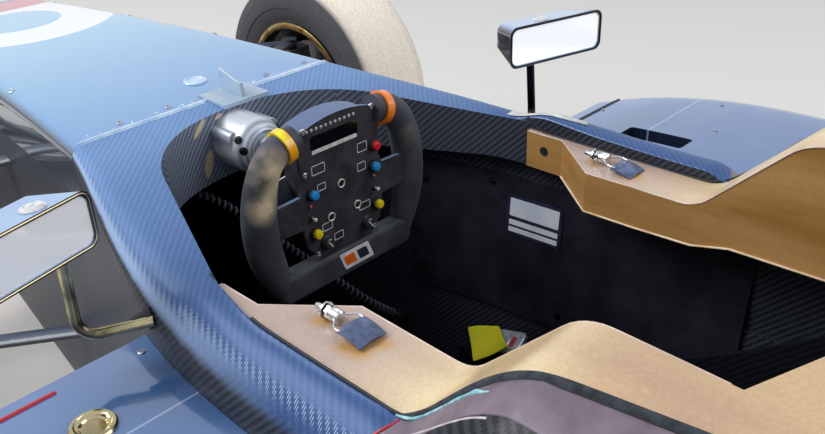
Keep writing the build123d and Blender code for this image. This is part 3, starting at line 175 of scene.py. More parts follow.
def grain(shader, place, size_mm, depth_mm):
    """A fine bump, from a noise of the given grain."""
    grit = add_node(shader.id_data, "TexNoise", {"Vector": (place, "Object"), "Scale": 1000 / size_mm,
                                                 "Detail": 3.0})
    relief(shader, grit, depth_mm)


def open_curve(name, points, kind="NURBS", radius=0.0, swell=()):
    """A curve of one open spline through or near the points, round when it has a radius."""
    curve = bpy.data.curves.new(name, "CURVE")
    curve.dimensions = "3D"
    spline = curve.splines.new(kind)
    spline.points.add(len(points) - 1)
    for point, place in zip(spline.points, points):
        point.co = (*place, 1)
    for point, share in zip(spline.points, swell):
        point.radius = share
    if kind == "NURBS":
        spline.order_u = 3
        spline.use_endpoint_u = True
        spline.resolution_u = 12
    curve.bevel_depth = radius
    curve.bevel_resolution = 3
    curve.use_fill_caps = True
    made = bpy.data.objects.new(name, curve)
    bpy.context.scene.collection.objects.link(made)
    return made


def line_points(curve_object):
    """The points along a curve object's own line, in order."""
    bpy.context.view_layer.update()
    line = bpy.data.meshes.new_from_object(curve_object)
    points = [vertex.co.copy() for vertex in line.vertices]
    bpy.data.meshes.remove(line)
    return points


lead_route = [
    (0.488, 0.077, 0.505), (0.473, 0.060, 0.499), (0.455, 0.035, 0.480), (0.441, 0.008, 0.450),
    (0.424, -0.020, 0.416), (0.402, -0.048, 0.380), (0.377, -0.074, 0.347), (0.354, -0.098, 0.315),
    (0.339, -0.124, 0.285), (0.333, -0.150, 0.260), (0.334, -0.176, 0.238),
]
wire_radius = 0.0019
coil_outer_radius = 0.0065
coil_radius = coil_outer_radius - wire_radius
coil_pitch = 0.0092
steps_per_turn = 14
straight_end = 0.012
route = open_curve("lead_route", lead_route)
route_line = line_points(route)
bpy.data.objects.remove(route)
lead_jacket, tree, shader, place = new_surface("matt_rubber_jacket", "#5a5d6a", 0.4)
grain(shader, place, 0.6, 0.02)

route_reach = [0.0]
for before, after in zip(route_line, route_line[1:]):
    route_reach.append(route_reach[-1] + (after - before).length)
route_length = route_reach[-1]


def along_route(distance):
    """The place and the direction at a distance along the lead's route."""
    index = 0
    while index < len(route_reach) - 2 and route_reach[index + 1] < distance:
        index += 1
    first, second = route_line[index], route_line[index + 1]
    run = (second - first).normalized()
    return first + run * (distance - route_reach[index]), run


coiled_length = route_length - 2 * straight_end
turns = coiled_length / coil_pitch
helix_steps = round(turns * steps_per_turn)
helix = [route_line[0]]
across = Vector((0, 0, 1))
for step in range(helix_steps + 1):
    share = step / helix_steps
    middle, run = along_route(straight_end + share * coiled_length)
    across = (across - run * across.dot(run)).normalized()
    beside = run.cross(across)
    turn = share * turns * 2 * pi
    helix.append(middle + coil_radius * (cos(turn) * across + sin(turn) * beside))
helix.append(route_line[-1])
curly_lead = open_curve("curly_wheel_lead", helix, radius=wire_radius)
curly_lead.data.splines[0].resolution_u = 2
curly_lead.data.materials.append(lead_jacket)
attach(curly_lead, frame["nodes"]["curly_lead"]["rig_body"])
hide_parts("curly_lead")


# Carbon tub: a hollow shell of carbon twill in clear lacquer, moulded in two halves and bonded.
# The deck's blue is a painted sky reflection, painted darker towards the rear,
# and the walls and the inside stay nearly black.
# The twill's tows are about 2 mm wide, so the eye sees slanting ribs.
def add_piece(shape, name, material, body, sharp=35, matrix=None):
    """Turns a finished bmesh into a smooth-shaded piece on a body, moved into place first."""
    if matrix:
        bmesh.ops.transform(shape, matrix=matrix, verts=shape.verts)
    for face in shape.faces:
        face.smooth = True
    for edge in shape.edges:
        edge.smooth = edge.calc_face_angle(0) < radians(sharp)
    piece = bpy.data.objects.new(name, bpy.data.meshes.new(name))
    shape.to_mesh(piece.data)
    shape.free()
    piece.data.materials.append(material)
    bpy.context.scene.collection.objects.link(piece)
    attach(piece, body)
    return piece


def skin(node, name, material, sharp=30):
    """A smooth copy of one solid's surface with the finish of the real piece."""
    source = frame["nodes"][node]
    shape = bmesh.new()
    shape.from_mesh(source.data)
    bmesh.ops.remove_doubles(shape, verts=shape.verts, dist=1e-5)
    piece = add_piece(shape, name, material, source["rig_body"], sharp)
    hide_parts(node)
    return piece


def upward_share(tree, facing, low, high):
    """How far a surface faces up, from 0 on walls to 1 on decks."""
    return add_node(tree, "MapRange", {0: (facing, 2), "From Min": low, "From Max": high},
                    interpolation_type="SMOOTHSTEP")


def mix_colours(tree, share, first, second):
    """A mix of two colours, each written or taken from an earlier mix."""
    inputs = {0: share}
    for socket, colour in ((6, first), (7, second)):
        inputs[socket] = linear(colour) if isinstance(colour, str) else (colour, 2)
    return add_node(tree, "Mix", inputs, data_type="RGBA")


def all_of(tree, *shares):
    """The share where all the given shares hold."""
    whole = shares[0]
    for share in shares[1:]:
        whole = add_node(tree, "Math", {0: whole, 1: share}, operation="MULTIPLY")
    return whole


def spot_and_facing(tree, place):
    """Where a spot of the surface is and which way it faces, each split into X, Y and Z."""
    return [add_node(tree, "SeparateXYZ", {0: (place, output)}) for output in ("Object", "Normal")]


def colour_with(shader, tones):
    """Takes the shader's colour from a mix."""
    shader.id_data.links.new(tones.outputs[2], shader.inputs["Base Color"])


def twill(tree, place, tow_mm):
    """A 2 by 2 twill laid flat on whichever way the surface faces: which tow is on top, and its height."""
    split, facing = spot_and_facing(tree, place)
    steep = add_node(tree, "Math", {0: (facing, 2)}, operation="ABSOLUTE")
    is_wall = add_node(tree, "Math", {0: steep, 1: 0.5}, operation="LESS_THAN")
    endwise = add_node(tree, "Math", {0: facing}, operation="ABSOLUTE")
    is_end = add_node(tree, "Math", {0: endwise, 1: 0.7}, operation="GREATER_THAN")
    across = add_node(tree, "Mix", {0: is_end, 2: split, 3: (split, 1)})
    along = add_node(tree, "Mix", {0: is_wall, 2: (split, 1), 3: (split, 2)})
    cells, backs = [], []
    for axis in (across, along):
        tows = add_node(tree, "Math", {0: axis, 1: 1000 / tow_mm}, operation="MULTIPLY")
        cells.append(add_node(tree, "Math", {0: tows}, operation="FLOOR"))
        part = add_node(tree, "Math", {0: tows, 1: pi}, operation="MULTIPLY")
        wave = add_node(tree, "Math", {0: part}, operation="SINE")
        backs.append(add_node(tree, "Math", {0: wave}, operation="ABSOLUTE"))
    step = add_node(tree, "Math", {0: cells[0], 1: cells[1]}, operation="ADD")
    turn = add_node(tree, "Math", {0: step, 1: 4.0}, operation="FLOORED_MODULO")
    on_top = add_node(tree, "Math", {0: turn, 1: 1.5}, operation="LESS_THAN")
    height = add_node(tree, "Mix", {0: on_top, 2: backs[1], 3: backs[0]})
    return on_top, height, split, facing


deck_low_z, deck_high_z = 0.52, 0.556
tow_mm = 2.3
tub_carbon, tree, shader, place = new_surface("lacquered_carbon_twill", "#40587c", 0.42, 0.1,
                                              Coat_Weight=0.08, Coat_Roughness=0.16, Specular_IOR_Level=0.2)
on_top, height, split, facing = twill(tree, place, tow_mm)
drift = add_node(tree, "TexNoise", {"Vector": (place, "Object"), "Scale": 1000 / 130, "Detail": 3.0})
# painted shade: the deck's painted sky blue darkens towards the rear
rear_shade_share = add_node(tree, "MapRange", {0: split, "From Min": 0.44, "From Max": 0.12})
under_tone = mix_colours(tree, rear_shade_share, mix_colours(tree, drift, "#5578ad", "#6a8dbb"), "#365282")
over_tone = mix_colours(tree, rear_shade_share, mix_colours(tree, drift, "#6184b7", "#7a9bc6"), "#3f5c8c")
painted_sky_deck_tones = mix_colours(tree, on_top, under_tone, over_tone)
wall_tones = mix_colours(tree, on_top, "#21242c", "#3b404c")
# the dash's rear face catches the sky, and the sun's light lies on its left in three tan slivers
rearward = add_node(tree, "MapRange", {0: facing, "From Min": -0.25, "From Max": -0.75})
dash_tones = mix_colours(tree, on_top, "#5a6274", "#8b94a8")
dash_x, any_depth = 0.438, 1000
# middle, lean, half length and half width
slivers = [((dash_x, 0.0575, 0.5975), 140, 0.0150, 0.0040),
           ((dash_x, 0.0500, 0.5450), 108, 0.0180, 0.0068),
           ((dash_x, 0.0230, 0.6020), 162, 0.0065, 0.0024)]
for middle, lean, half_long, half_wide in slivers:
    in_sliver = add_node(tree, "Mapping", {"Vector": (place, "Object"), "Location": middle,
                                           "Rotation": (radians(lean), 0, 0),
                                           "Scale": (any_depth, half_long, half_wide)},
                         vector_type="TEXTURE")
    from_middle = add_node(tree, "VectorMath", {0: in_sliver}, operation="LENGTH")
    sliver = add_node(tree, "MapRange", {0: (from_middle, "Value"), "From Min": 1.12, "From Max": 0.88,
                                         "To Max": 0.92})
    dash_tones = mix_colours(tree, sliver, dash_tones, "#d9c8a2")
side_tones = mix_colours(tree, rearward, wall_tones, dash_tones)
# painted sky reflection: faces that look up, high on the tub, take the blue deck tones, the rest the dark
# wall tones
upward = upward_share(tree, facing, 0.31, 0.54)
above = add_node(tree, "MapRange", {0: (split, 2), "From Min": deck_low_z, "From Max": deck_high_z})
on_deck = all_of(tree, upward, above)
body_tones = mix_colours(tree, on_deck, side_tones, painted_sky_deck_tones)
# a pale highlight is painted on the fold beside the dash
sheen_low = add_node(tree, "MapRange", {0: (facing, 2), "From Min": 0.33, "From Max": 0.47})
sheen_high = add_node(tree, "MapRange", {0: (facing, 2), "From Min": 0.70, "From Max": 0.56, "To Max": 0.7})
sheen_ahead = add_node(tree, "MapRange", {0: split, "From Min": -0.02, "From Max": 0.16})
sheen = all_of(tree, sheen_low, sheen_high, sheen_ahead, above)
body_tones = mix_colours(tree, sheen, body_tones, "#a3bbdf")
# where the deck turns down, single tows catch the light as rows of small bright dashes
turning = add_node(tree, "MapRange", {0: (facing, 2), "From Min": 0.76, "From Max": 0.69})
still_up = add_node(tree, "MapRange", {0: (facing, 2), "From Min": 0.54, "From Max": 0.62})
crowns = add_node(tree, "MapRange", {0: height, "From Min": 0.82, "From Max": 0.97})
glints = all_of(tree, turning, still_up, above, crowns, on_top)
tones = mix_colours(tree, glints, body_tones, "#aebcd3")
# behind the red line the hump's outer band is a mottled mauve grey, and beyond the white line its upper
# faces take dark tones in place of the painted sky blue
outward = add_node(tree, "Math", {0: (split, 1)}, operation="ABSOLUTE")
leaning = add_node(tree, "Math", {0: outward, 1: -0.5, 2: split}, operation="MULTIPLY_ADD")
on_hump = add_node(tree, "MapRange", {0: leaning, "From Min": -0.2478, "From Max": -0.2488})
mauve_mottle = add_node(tree, "TexNoise", {"Vector": (place, "Object"), "Scale": 1000 / 20, "Detail": 4.0})
hump_top = all_of(tree, on_hump, on_deck)
tones = mix_colours(tree, hump_top, tones, mix_colours(tree, mauve_mottle, "#5b5260", "#94848f"))
past_line = add_node(tree, "MapRange", {0: outward, "From Min": 0.2866, "From Max": 0.2880})
far_back = add_node(tree, "MapRange", {0: split, "From Min": -0.125, "From Max": -0.145})
dark_hump_share = all_of(tree, past_line, far_back, on_deck)
tones = mix_colours(tree, dark_hump_share, tones, mix_colours(tree, on_top, "#17181c", "#34363d"))
colour_with(shader, tones)
relief(shader, height, 0.035)
skin("monocoque", "carbon_tub", tub_carbon)


# Rim rails: beside the driver the tub's rim stands proud of the surround's shelf. A moulded strip of the
# same twill closes it there, and runs out into the deck ahead and the hump behind. The right one
# stands higher and reaches further in, as the photograph shows it.
rim_plan = [
    (0.148, 0.2412), (0.128, 0.2458), (0.100, 0.2512), (0.075, 0.2560), (0.053, 0.2585), (0.020, 0.2585),
    (-0.030, 0.2585), (-0.080, 0.2585), (-0.115, 0.2585), (-0.135, 0.2585), (-0.160, 0.2585),
    (-0.185, 0.2585), (-0.205, 0.2585), (-0.222, 0.2572), (-0.240, 0.2548), (-0.280, 0.2490),
    (-0.340, 0.2405), (-0.398, 0.2325),
]
rail_section = [(0.0052, 0.0128), (0.0110, 0.0140), (0.0180, 0.0148), (0.0240, 0.0140), (0.0300, 0.0112),
                (0.0350, 0.0078), (0.0400, 0.0036), (0.0450, -0.0012)]
rail_front_x, rail_rear_x, rail_fade = 0.176, -0.134, 0.060
rail_stations = 46
rail_part_high = {1: 0.28, -1: 1.0}
# how far out and how high the strip's inner face and top corner stand
rail_inner_face = [(0, 0.0098), (0.0006, 0.0117), (0.0020, 0.0124)]
rail_out, rail_end_sink, rail_foot_depth = 0.0028, 0.0006, 0.001
right_rail_y = 0.2430
shelf_z = 0.5770
rim_slope_ahead = 0.375
over_car_z = 1.2
sides = ((1, "left"), (-1, "right"))
solid_trees = {}


def surface_at(node, start, aim):
    """Where a ray from one point towards another first meets a solid, and the way that face looks."""
    if node not in solid_trees:
        mesh = frame["nodes"][node].data
        solid_trees[node] = BVHTree.FromPolygons([corner.co for corner in mesh.vertices],
                                                 [face.vertices for face in mesh.polygons])
    run = Vector(aim) - Vector(start)
    place, facing, _, _ = solid_trees[node].ray_cast(Vector(start), run.normalized())
    if place is None:
        raise ValueError(f"no surface of {node} from {start} towards {aim}")
    return place, facing


def top_of(node, x, y, over=0.0):
    """The place on a solid's upper surface at a plan position, raised a little along its normal."""
    place, facing = surface_at(node, (x, y, over_car_z), (x, y, 0.0))
    return place + facing * over


def rim_y(x):
    """Where the surround meets the tub's rim, as a distance from the middle."""
    for (x_ahead, y_ahead), (x_behind, y_behind) in zip(rim_plan, rim_plan[1:]):
        if x_behind <= x <= x_ahead:
            return y_ahead + (y_behind - y_ahead) * (x_ahead - x) / (x_ahead - x_behind)
    front_x, front_y = rim_plan[0]
    return front_y - rim_slope_ahead * (x - front_x) if x > front_x else rim_plan[-1][1]


def rail_share(x):
    """How much of the rail's height stands at a station, from 0 at its ends to 1."""
    reach = max(0.0, min(1.0, (rail_front_x - x) / rail_fade, 1.5 * (x - rail_rear_x) / rail_fade))
    return reach * reach * (3 - 2 * reach)


def rail_lift(x, y):
    """How far the rail stands over the tub at a plan position."""
    side = 1 if y > 0 else -1
    out = max(rail_section[0][0], abs(y) - rim_y(x))
    for (out_before, lift_before), (out_after, lift_after) in zip(rail_section, rail_section[1:]):
        if out_before <= out <= out_after:
            between = (out - out_before) / (out_after - out_before)
            lift = max(0.0, lift_before + (lift_after - lift_before) * between)
            return rail_part_high[side] * rail_share(x) * lift
    return 0.0


def face_upwards(shape):
    """Turns an open sheet's faces so that they look up."""
    bmesh.ops.recalc_face_normals(shape, faces=shape.faces)
    if sum(face.normal.z for face in shape.faces) < 0:
        bmesh.ops.reverse_faces(shape, faces=shape.faces)


for side, name in sides:
    rail = bmesh.new()
    row, edges = [], []
    for station in range(rail_stations):
        x = rail_front_x + (rail_rear_x - rail_front_x) * station / (rail_stations - 1)
        share, high = rail_share(x), rail_part_high[side] * rail_share(x)
        sunk = rail_end_sink * (1 - share)
        foot_y = rim_y(x) + rail_out
        edge_y = foot_y if side > 0 else min(foot_y, right_rail_y)
        level = top_of("monocoque", x, side * foot_y).z - sunk
        foot_z = level - rail_foot_depth if side > 0 else min(level - rail_foot_depth, shelf_z - 0.0005)
        places = [Vector((x, side * edge_y, foot_z))]
        places += [Vector((x, side * (edge_y + out), level + rise * high)) for out, rise in rail_inner_face]
        places += [top_of("monocoque", x, side * (rim_y(x) + out)) + Vector((0, 0, high * lift - sunk))
                   for out, lift in rail_section]
        if not row:
            row = [rail.verts.new(place) for place in places]
            edges = [rail.edges.new(pair) for pair in zip(row, row[1:])]
            continue
        made = bmesh.ops.extrude_edge_only(rail, edges=edges)["geom"]
        fresh = [part for part in made if isinstance(part, bmesh.types.BMVert)]
        row = [min(fresh, key=lambda vertex: (vertex.co - old.co).length) for old in row]
        edges = [part for part in made if isinstance(part, bmesh.types.BMEdge)
                 and all(vertex in fresh for vertex in part.verts)]
        for vertex, spot in zip(row, places):
            vertex.co = spot
    face_upwards(rail)
    add_piece(rail, f"rim_rail_{name}", tub_carbon, "chassis", 60)


# Trim of the tub's rim: the black line where the surround lies against the tub, a strip of dark grey
# foam over the left hump with a thin run of pale blue sealant beside it, a red and a pale line across
# that hump, and a patch of cloth tape on the right rail.
def round_bead(name, points, radius, material, body, kind="NURBS", swell=()):
    """A thin round strip, bonded along a line of points."""
    line = open_curve(name + "_line", points, kind, radius, swell)
    bpy.context.view_layer.update()
    mesh = bpy.data.meshes.new_from_object(line)
    shape = bmesh.new()
    shape.from_mesh(mesh)
    bpy.data.objects.remove(line)
    bpy.data.meshes.remove(mesh)
    bmesh.ops.remove_doubles(shape, verts=shape.verts, dist=1e-6)
    return add_piece(shape, name, material, body, 60)


def mottle(shader, place, dark, light, size_mm, detail=4.0):
    """Colour that drifts between two tones in patches of about the given size."""
    tree = shader.id_data
    patches = add_node(tree, "TexNoise", {"Vector": (place, "Object"), "Scale": 1000 / size_mm,
                                          "Detail": detail})
    share = add_node(tree, "MapRange", {0: patches, "From Min": 0.35, "From Max": 0.65})
    tones = mix_colours(tree, share, dark, light)
    colour_with(shader, tones)
    return tones


def plain_finish(name, colour, roughness, metallic=0.0, tones=None, grit=None, **sockets):
    """A finish whose colour drifts between two tones in patches of a size, over a grain, all in mm."""
    material, tree, shader, place = new_surface(name, colour, roughness, metallic, **sockets)
    if tones:
        mottle(shader, place, *tones)
    if grit:
        grain(shader, place, *grit)
    return material


def add_thickness(piece, name, thickness, offset):
    """Gives a sheet its thickness: offset 1 builds outwards, -1 inwards and 0 both ways."""
    wall = piece.modifiers.new(name, "SOLIDIFY")
    wall.thickness = thickness
    wall.offset = offset


def over_rim(x, y, out=0.0):
    """The place on the tub's rim, or on the rail over it, at a plan position."""
    return top_of("monocoque", x, y, out) + Vector((0, 0, rail_lift(x, y)))


black_rubber = plain_finish("moulded_black_rubber", "#15161a", 0.6, grit=(0.8, 0.04))
grey_foam = plain_finish("closed_cell_foam", "#2c3138", 0.9, tones=("#22262c", "#3c424a", 6),
                         grit=(1.0, 0.4))
sealant = plain_finish("cured_sealant", "#8cc6cf", 0.5, tones=("#6fb2bf", "#b5dfe4", 8))

for side, name in sides:
    seal = []
    for x, y in rim_plan:
        if side < 0 and y + rail_out > right_rail_y and rail_share(x) > 0.3 and x < 0.14:
            seal.append(top_of("cockpit_liner", x, -(right_rail_y - 0.0010), 0.0002))
        else:
            lift = rail_lift(x, side * y)
            seal.append(top_of("monocoque", x, side * (y + 0.0018)) + Vector((0, 0, lift)))
    round_bead(f"rim_gap_line_{name}", seal, 0.0014, black_rubber, "chassis")
foam_from_x, foam_full_x = -0.09, -0.165
foam_plan = [(x, y) for x, y in rim_plan if x < foam_from_x]
swell = [max(0.25, min(1.0, (foam_from_x - x) / (foam_from_x - foam_full_x))) for x, y in foam_plan]
foam = [top_of("monocoque", x, y + 0.0015) + Vector((0, -0.0028 * share, rail_lift(x, y)))
        for (x, y), share in zip(foam_plan, swell)]
round_bead("rim_foam_left", foam, 0.0043, grey_foam, "chassis", swell=swell)
sealant_plan = [
    (-0.1117, 0.2612), (-0.1249, 0.2622), (-0.1400, 0.2620), (-0.1524, 0.2628), (-0.1640, 0.2626),
    (-0.1750, 0.2645), (-0.1840, 0.2650), (-0.1932, 0.2660), (-0.1990, 0.2690), (-0.2063, 0.2706),
]
ragged = [top_of("monocoque", x, y + 0.0012 * noise.noise(Vector((140 * x, 3, 0))), 0.0001)
          + Vector((0, 0, rail_lift(x, y))) for x, y in sealant_plan]
round_bead("sealant_run", ragged, 0.0013, sealant, "chassis",
           swell=(0.9, 1.2, 0.7, 1.1, 0.6, 1.3, 0.8, 1.7, 0.8, 0.4))
red_paint_line = plain_finish("red_pinstripe_film", "#c22436", 0.35)
white_edge = plain_finish("bare_gelcoat_edge", "#cfc6c8", 0.4, tones=("#b7aeb2", "#e0dadb", 12))
red_line_plan = [(-0.1168, 0.2630), (-0.1150, 0.2690), (-0.1120, 0.2760), (-0.1080, 0.2840),
                 (-0.1020, 0.2920)]
hump_line_plan = [(-0.1450, 0.2822), (-0.1653, 0.2858), (-0.1903, 0.2885), (-0.2085, 0.2887),
                  (-0.2200, 0.2896)]
for name, plan, radius, finish in (("red_edge_stripe", red_line_plan, 0.0011, red_paint_line),
                                   ("hump_edge_line", hump_line_plan, 0.0009, white_edge)):
    round_bead(name, [over_rim(x, y) for x, y in plan], radius, finish, "chassis")

grey_tape = plain_finish("aged_cloth_tape", "#c4c4c2", 0.55, tones=("#adaeae", "#d6d6d2", 18),
                         grit=(0.7, 0.05))
tape_corners = [(0.184, -0.2680), (0.082, -0.2790), (0.070, -0.2615), (0.178, -0.2390)]
tape = bmesh.new()
bmesh.ops.create_grid(tape, x_segments=16, y_segments=5, size=0.5)
first, second, third, fourth = (Vector((*corner, 0)) for corner in tape_corners)
for vertex in tape.verts:
    u, v = vertex.co.x + 0.5, vertex.co.y + 0.5
    plan = first.lerp(second, u).lerp(fourth.lerp(third, u), v)
    vertex.co = over_rim(plan.x, plan.y, 0.0005)
face_upwards(tape)
add_thickness(add_piece(tape, "rim_tape_patch", grey_tape, "chassis"), "film", 0.0004, 1)

# Painted hood and nose cone: gloss paint over composite, red ahead of a plain white ring,
# as a start number's ground. The light blue on top is a painted sky reflection, painted darker towards
# the cockpit, and the sides are painted dark where they turn away from the sky.
hood_paint, tree, shader, place = new_surface("gloss_blue_paint", "#93c3e6", 0.2, 0.1, Coat_Weight=1.0,
                                              Coat_Roughness=0.04)
ring_centre = (1.087, 0.0, 0.0)
ring_outer, ring_inner = 0.173, 0.080
red_from_x = 1.190
split, facing = spot_and_facing(tree, place)
# painted shade: the top's blue darkens towards the cockpit
fade = add_node(tree, "MapRange", {0: split, "From Min": 0.45, "From Max": 0.95})
painted_sky_top_blue = mix_colours(tree, fade, "#5f8fc6", "#86bddf")
# painted sky reflection: the top is lit blue and the sides are painted dark
lit_top_share = upward_share(tree, facing, 0.35, 0.95)
blue = mix_colours(tree, lit_top_share, "#22334a", painted_sky_top_blue)
flat = add_node(tree, "CombineXYZ", {0: split, 1: (split, 1)})
reach = add_node(tree, "VectorMath", {0: flat, 1: ring_centre}, operation="DISTANCE")
inside = add_node(tree, "Math", {0: (reach, "Value"), 1: ring_outer}, operation="LESS_THAN")
outside = add_node(tree, "Math", {0: (reach, "Value"), 1: ring_inner}, operation="GREATER_THAN")
on_ring = all_of(tree, inside, outside)
ahead_of = add_node(tree, "Math", {0: split, 1: red_from_x}, operation="GREATER_THAN")
with_ring = mix_colours(tree, on_ring, blue, "#f2f5f6")
with_red = mix_colours(tree, ahead_of, with_ring, "#c8303f")
colour_with(shader, with_red)
grain(shader, place, 22, 0.03)
skin("hood_panel", "painted_hood", hood_paint)
skin("nose_cone", "painted_nose", hood_paint)

# Hood's rear lip and fasteners: the panel ends in a rolled lip over the tub, with quarter-turn studs
# along it and along both sides, a filler plug beside the fin, and chips of bare primer by the lip.
# the pale blue on the lip and the joint's beads is a painted highlight along the panel's edge
lip_paint = plain_finish("pale_paint_and_edge_highlight", "#bcd3ea", 0.25, tones=("#9fbfe2", "#d3e2f0", 30),
                         Coat_Weight=0.8)
lip_x, lip_half, lip_steps = 0.4835, 0.196, 23
lip_ys = [lip_half * (2 * step / (lip_steps - 1) - 1) for step in range(lip_steps)]
round_bead("hood_rear_lip", [top_of("hood_panel", lip_x, y) for y in lip_ys], 0.0022, lip_paint, "chassis")
# behind it a thin bead follows the joint, and stops on both sides of the fin's foot
joint_x = lip_x - 0.0055
for name, joint_ys in (("right", lip_ys[:9]), ("left", lip_ys[12:])):
    joint = [top_of("monocoque", joint_x, y) for y in joint_ys]
    round_bead(f"hood_joint_bead_{name}", joint, 0.0011, lip_paint, "chassis")


def turned(profile, steps=28):
    """A shape turned about Z from a profile of radius and height, closed at both ends of the axis."""
    shape = bmesh.new()
    rows = [shape.verts.new((radius, 0, height)) for radius, height in profile]
    for first, second in zip(rows, rows[1:]):
        shape.edges.new((first, second))
    bmesh.ops.spin(shape, geom=shape.verts[:] + shape.edges[:], cent=(0, 0, 0), axis=(0, 0, 1),
                   angle=2 * pi, steps=steps, use_merge=True)
    bmesh.ops.remove_doubles(shape, verts=shape.verts, dist=1e-6)
    bmesh.ops.recalc_face_normals(shape, faces=shape.faces)
    return shape


def standing(place, facing):
    """The matrix that stands a shape made along Z on a place, along the way the place faces."""
    return Matrix.Translation(place) @ Vector(facing).to_track_quat("Z", "Y").to_matrix().to_4x4()


def put(whole, part, matrix):
    """Adds a finished small shape to a larger one, moved into place."""
    bmesh.ops.transform(part, matrix=matrix, verts=part.verts)
    holder = bpy.data.meshes.new("holder")
    part.to_mesh(holder)
    part.free()
    whole.from_mesh(holder)
    bpy.data.meshes.remove(holder)


def socket_screw(radius, washer=1.0):
    """A button-head screw with its hexagon socket, and a washer when it is wider than the head."""
    high = 0.45 * radius
    return turned([(washer * radius, 0), (washer * radius, 0.12 * radius), (radius, 0.16 * radius),
                   (radius, 0.3 * radius), (0.93 * radius, 0.62 * high), (0.72 * radius, 0.9 * high),
                   (0.48 * radius, high), (0.44 * radius, high), (0.42 * radius, 0.35 * high),
                   (0, 0.3 * high)], 24)


def screws(name, places, radius, material, body, washer=1.0):
    """A set of like screws as one piece: each place is a point and the way it faces."""
    shape = bmesh.new()
    for place, facing in places:
        put(shape, socket_screw(radius, washer), standing(place, facing))
    return add_piece(shape, name, material, body)


def top_spots(node, plan, from_z=over_car_z):
    """Where a solid's upper surface lies at plan positions, each with the way it faces."""
    return [surface_at(node, (x, y, from_z), (x, y, 0)) for x, y in plan]


zinc_steel = plain_finish("zinc_plated_steel", "#b9bcc2", 0.3, 0.9, grit=(0.7, 0.02))
stud_plan = [(0.50, 0.13), (0.50, 0.06), (0.50, -0.10), (0.50, -0.17), (0.72, 0.168), (0.72, -0.168),
             (0.95, 0.148), (0.95, -0.148), (1.20, 0.128), (1.20, -0.128)]
screws("hood_studs", top_spots("hood_panel", stud_plan), 0.0045, zinc_steel, "chassis")
plug = turned([(0.0165, 0), (0.0165, 0.0012), (0.0155, 0.0022), (0.0125, 0.0026), (0.0115, 0.0016),
               (0, 0.0014)], 40)
plug_spot = top_spots("hood_panel", [(0.553, -0.018)])[0]
add_piece(plug, "hood_filler_plug", lip_paint, "chassis", matrix=standing(*plug_spot))
bare_primer = plain_finish("chipped_primer", "#a9c6e2", 0.6, tones=("#8db2da", "#c9dcec", 5))
chips = bmesh.new()
chip_tries, fin_y, fin_clear = 60, -0.024, 0.040
for index in range(chip_tries):
    spread = Vector((1.37 * index + 0.5, 5.5, 0.3))
    chip_y = 0.172 - 0.0056 * index + 0.014 * noise.noise(spread)
    if abs(chip_y - fin_y) < fin_clear or noise.noise(spread + Vector((0, 7.7, 0))) < -0.02:
        continue
    chip_x = 0.4915 + 0.009 * abs(noise.noise(spread + Vector((0, 3.6, 0))))
    size = 0.0007 + 0.0022 * abs(noise.noise(spread + Vector((0, 1.7, 0))))
    chip = turned([(size, 0), (0.8 * size, 0.00012), (0, 0.00016)], 9)
    bmesh.ops.scale(chip, vec=(0.7, 1.9, 1), verts=chip.verts)
    put(chips, chip, standing(*top_spots("hood_panel", [(chip_x, chip_y)])[0]))
add_piece(chips, "hood_paint_chips", bare_primer, "chassis")

# Deck fin: clear acrylic, sawn and flame-polished, bonded on a square foot over the hood's joint.
# Its edges carry the light, so they read paler than its faces.
acrylic = plain_finish("frosted_acrylic", "#cfe2f3", 0.16, grit=(4, 0.02), Transmission_Weight=0.55,
                       IOR=1.49)
skin("deck_fin", "acrylic_fin", acrylic)

# Sidepods: dark blue gloss paint over composite with a clear coat that mirrors the stalks above. Their
# tops are painted lighter blue in cloud patches, as a painted sky reflection. Each has a seam across its
# nose, drawn as a pale line of painted highlight, a dark sheet in its vent as painted shade, a polished
# filler ring and an edge stripe, which is red on the left one and black on the right one.
pod_paint, tree, shader, place = new_surface("gloss_dark_blue_paint", "#3d5684", 0.12, 0.1,
                                             Coat_Weight=1.0, Coat_Roughness=0.02)
split, facing = spot_and_facing(tree, place)
# painted sky reflection: the tops are lighter blue in cloud patches, the sides dark
patches = add_node(tree, "TexNoise", {"Vector": (place, "Object"), "Scale": 1000 / 220, "Detail": 3.0})
painted_cloud_share = add_node(tree, "MapRange", {0: patches, "From Min": 0.35, "From Max": 0.7})
painted_lit_top_tone = mix_colours(tree, painted_cloud_share, "#42669d", "#5b7fb2")
lit_top_share = upward_share(tree, facing, 0.15, 0.9)
body_tone = mix_colours(tree, lit_top_share, "#232d42", painted_lit_top_tone)
# the seam is drawn as a pale line: a painted highlight
seam_x, seam_half = 0.100, 0.0014
from_seam = add_node(tree, "Math", {0: split, 1: seam_x}, operation="SUBTRACT")
seam_reach = add_node(tree, "Math", {0: from_seam}, operation="ABSOLUTE")
seam_highlight_share = add_node(tree, "Math", {0: seam_reach, 1: seam_half}, operation="LESS_THAN")
with_seam_highlight = mix_colours(tree, seam_highlight_share, body_tone, "#93abd0")
colour_with(shader, with_seam_highlight)
vent_shade_black = plain_finish("matt_black_vent_shade", "#0c0d10", 0.85, grit=(1.2, 0.1))
polished = plain_finish("polished_brass_tone_steel", "#c2b48c", 0.14, 1.0, grit=(3, 0.01))
pod_screw_plan = [(0.205, 0.30), (0.205, 0.52), (0.02, 0.30), (0.02, 0.52), (0.06, 0.62), (-0.12, 0.655),
                  (-0.30, 0.655), (-0.47, 0.64)]
stripe_from_y, stripe_to_y, stripe_steps = 0.385, 0.575, 8
filler_x, filler_y = 0.131, 0.389
vent_size, vent_place = (0.096, 0.036, 1), (0.078, 0.451, 0.452)
filler_ring = [(0.021, 0), (0.021, 0.003), (0.0195, 0.0048), (0.0165, 0.0052), (0.0150, 0.0036),
               (0.0125, 0.003), (0.0110, 0.0012), (0, 0.001)]
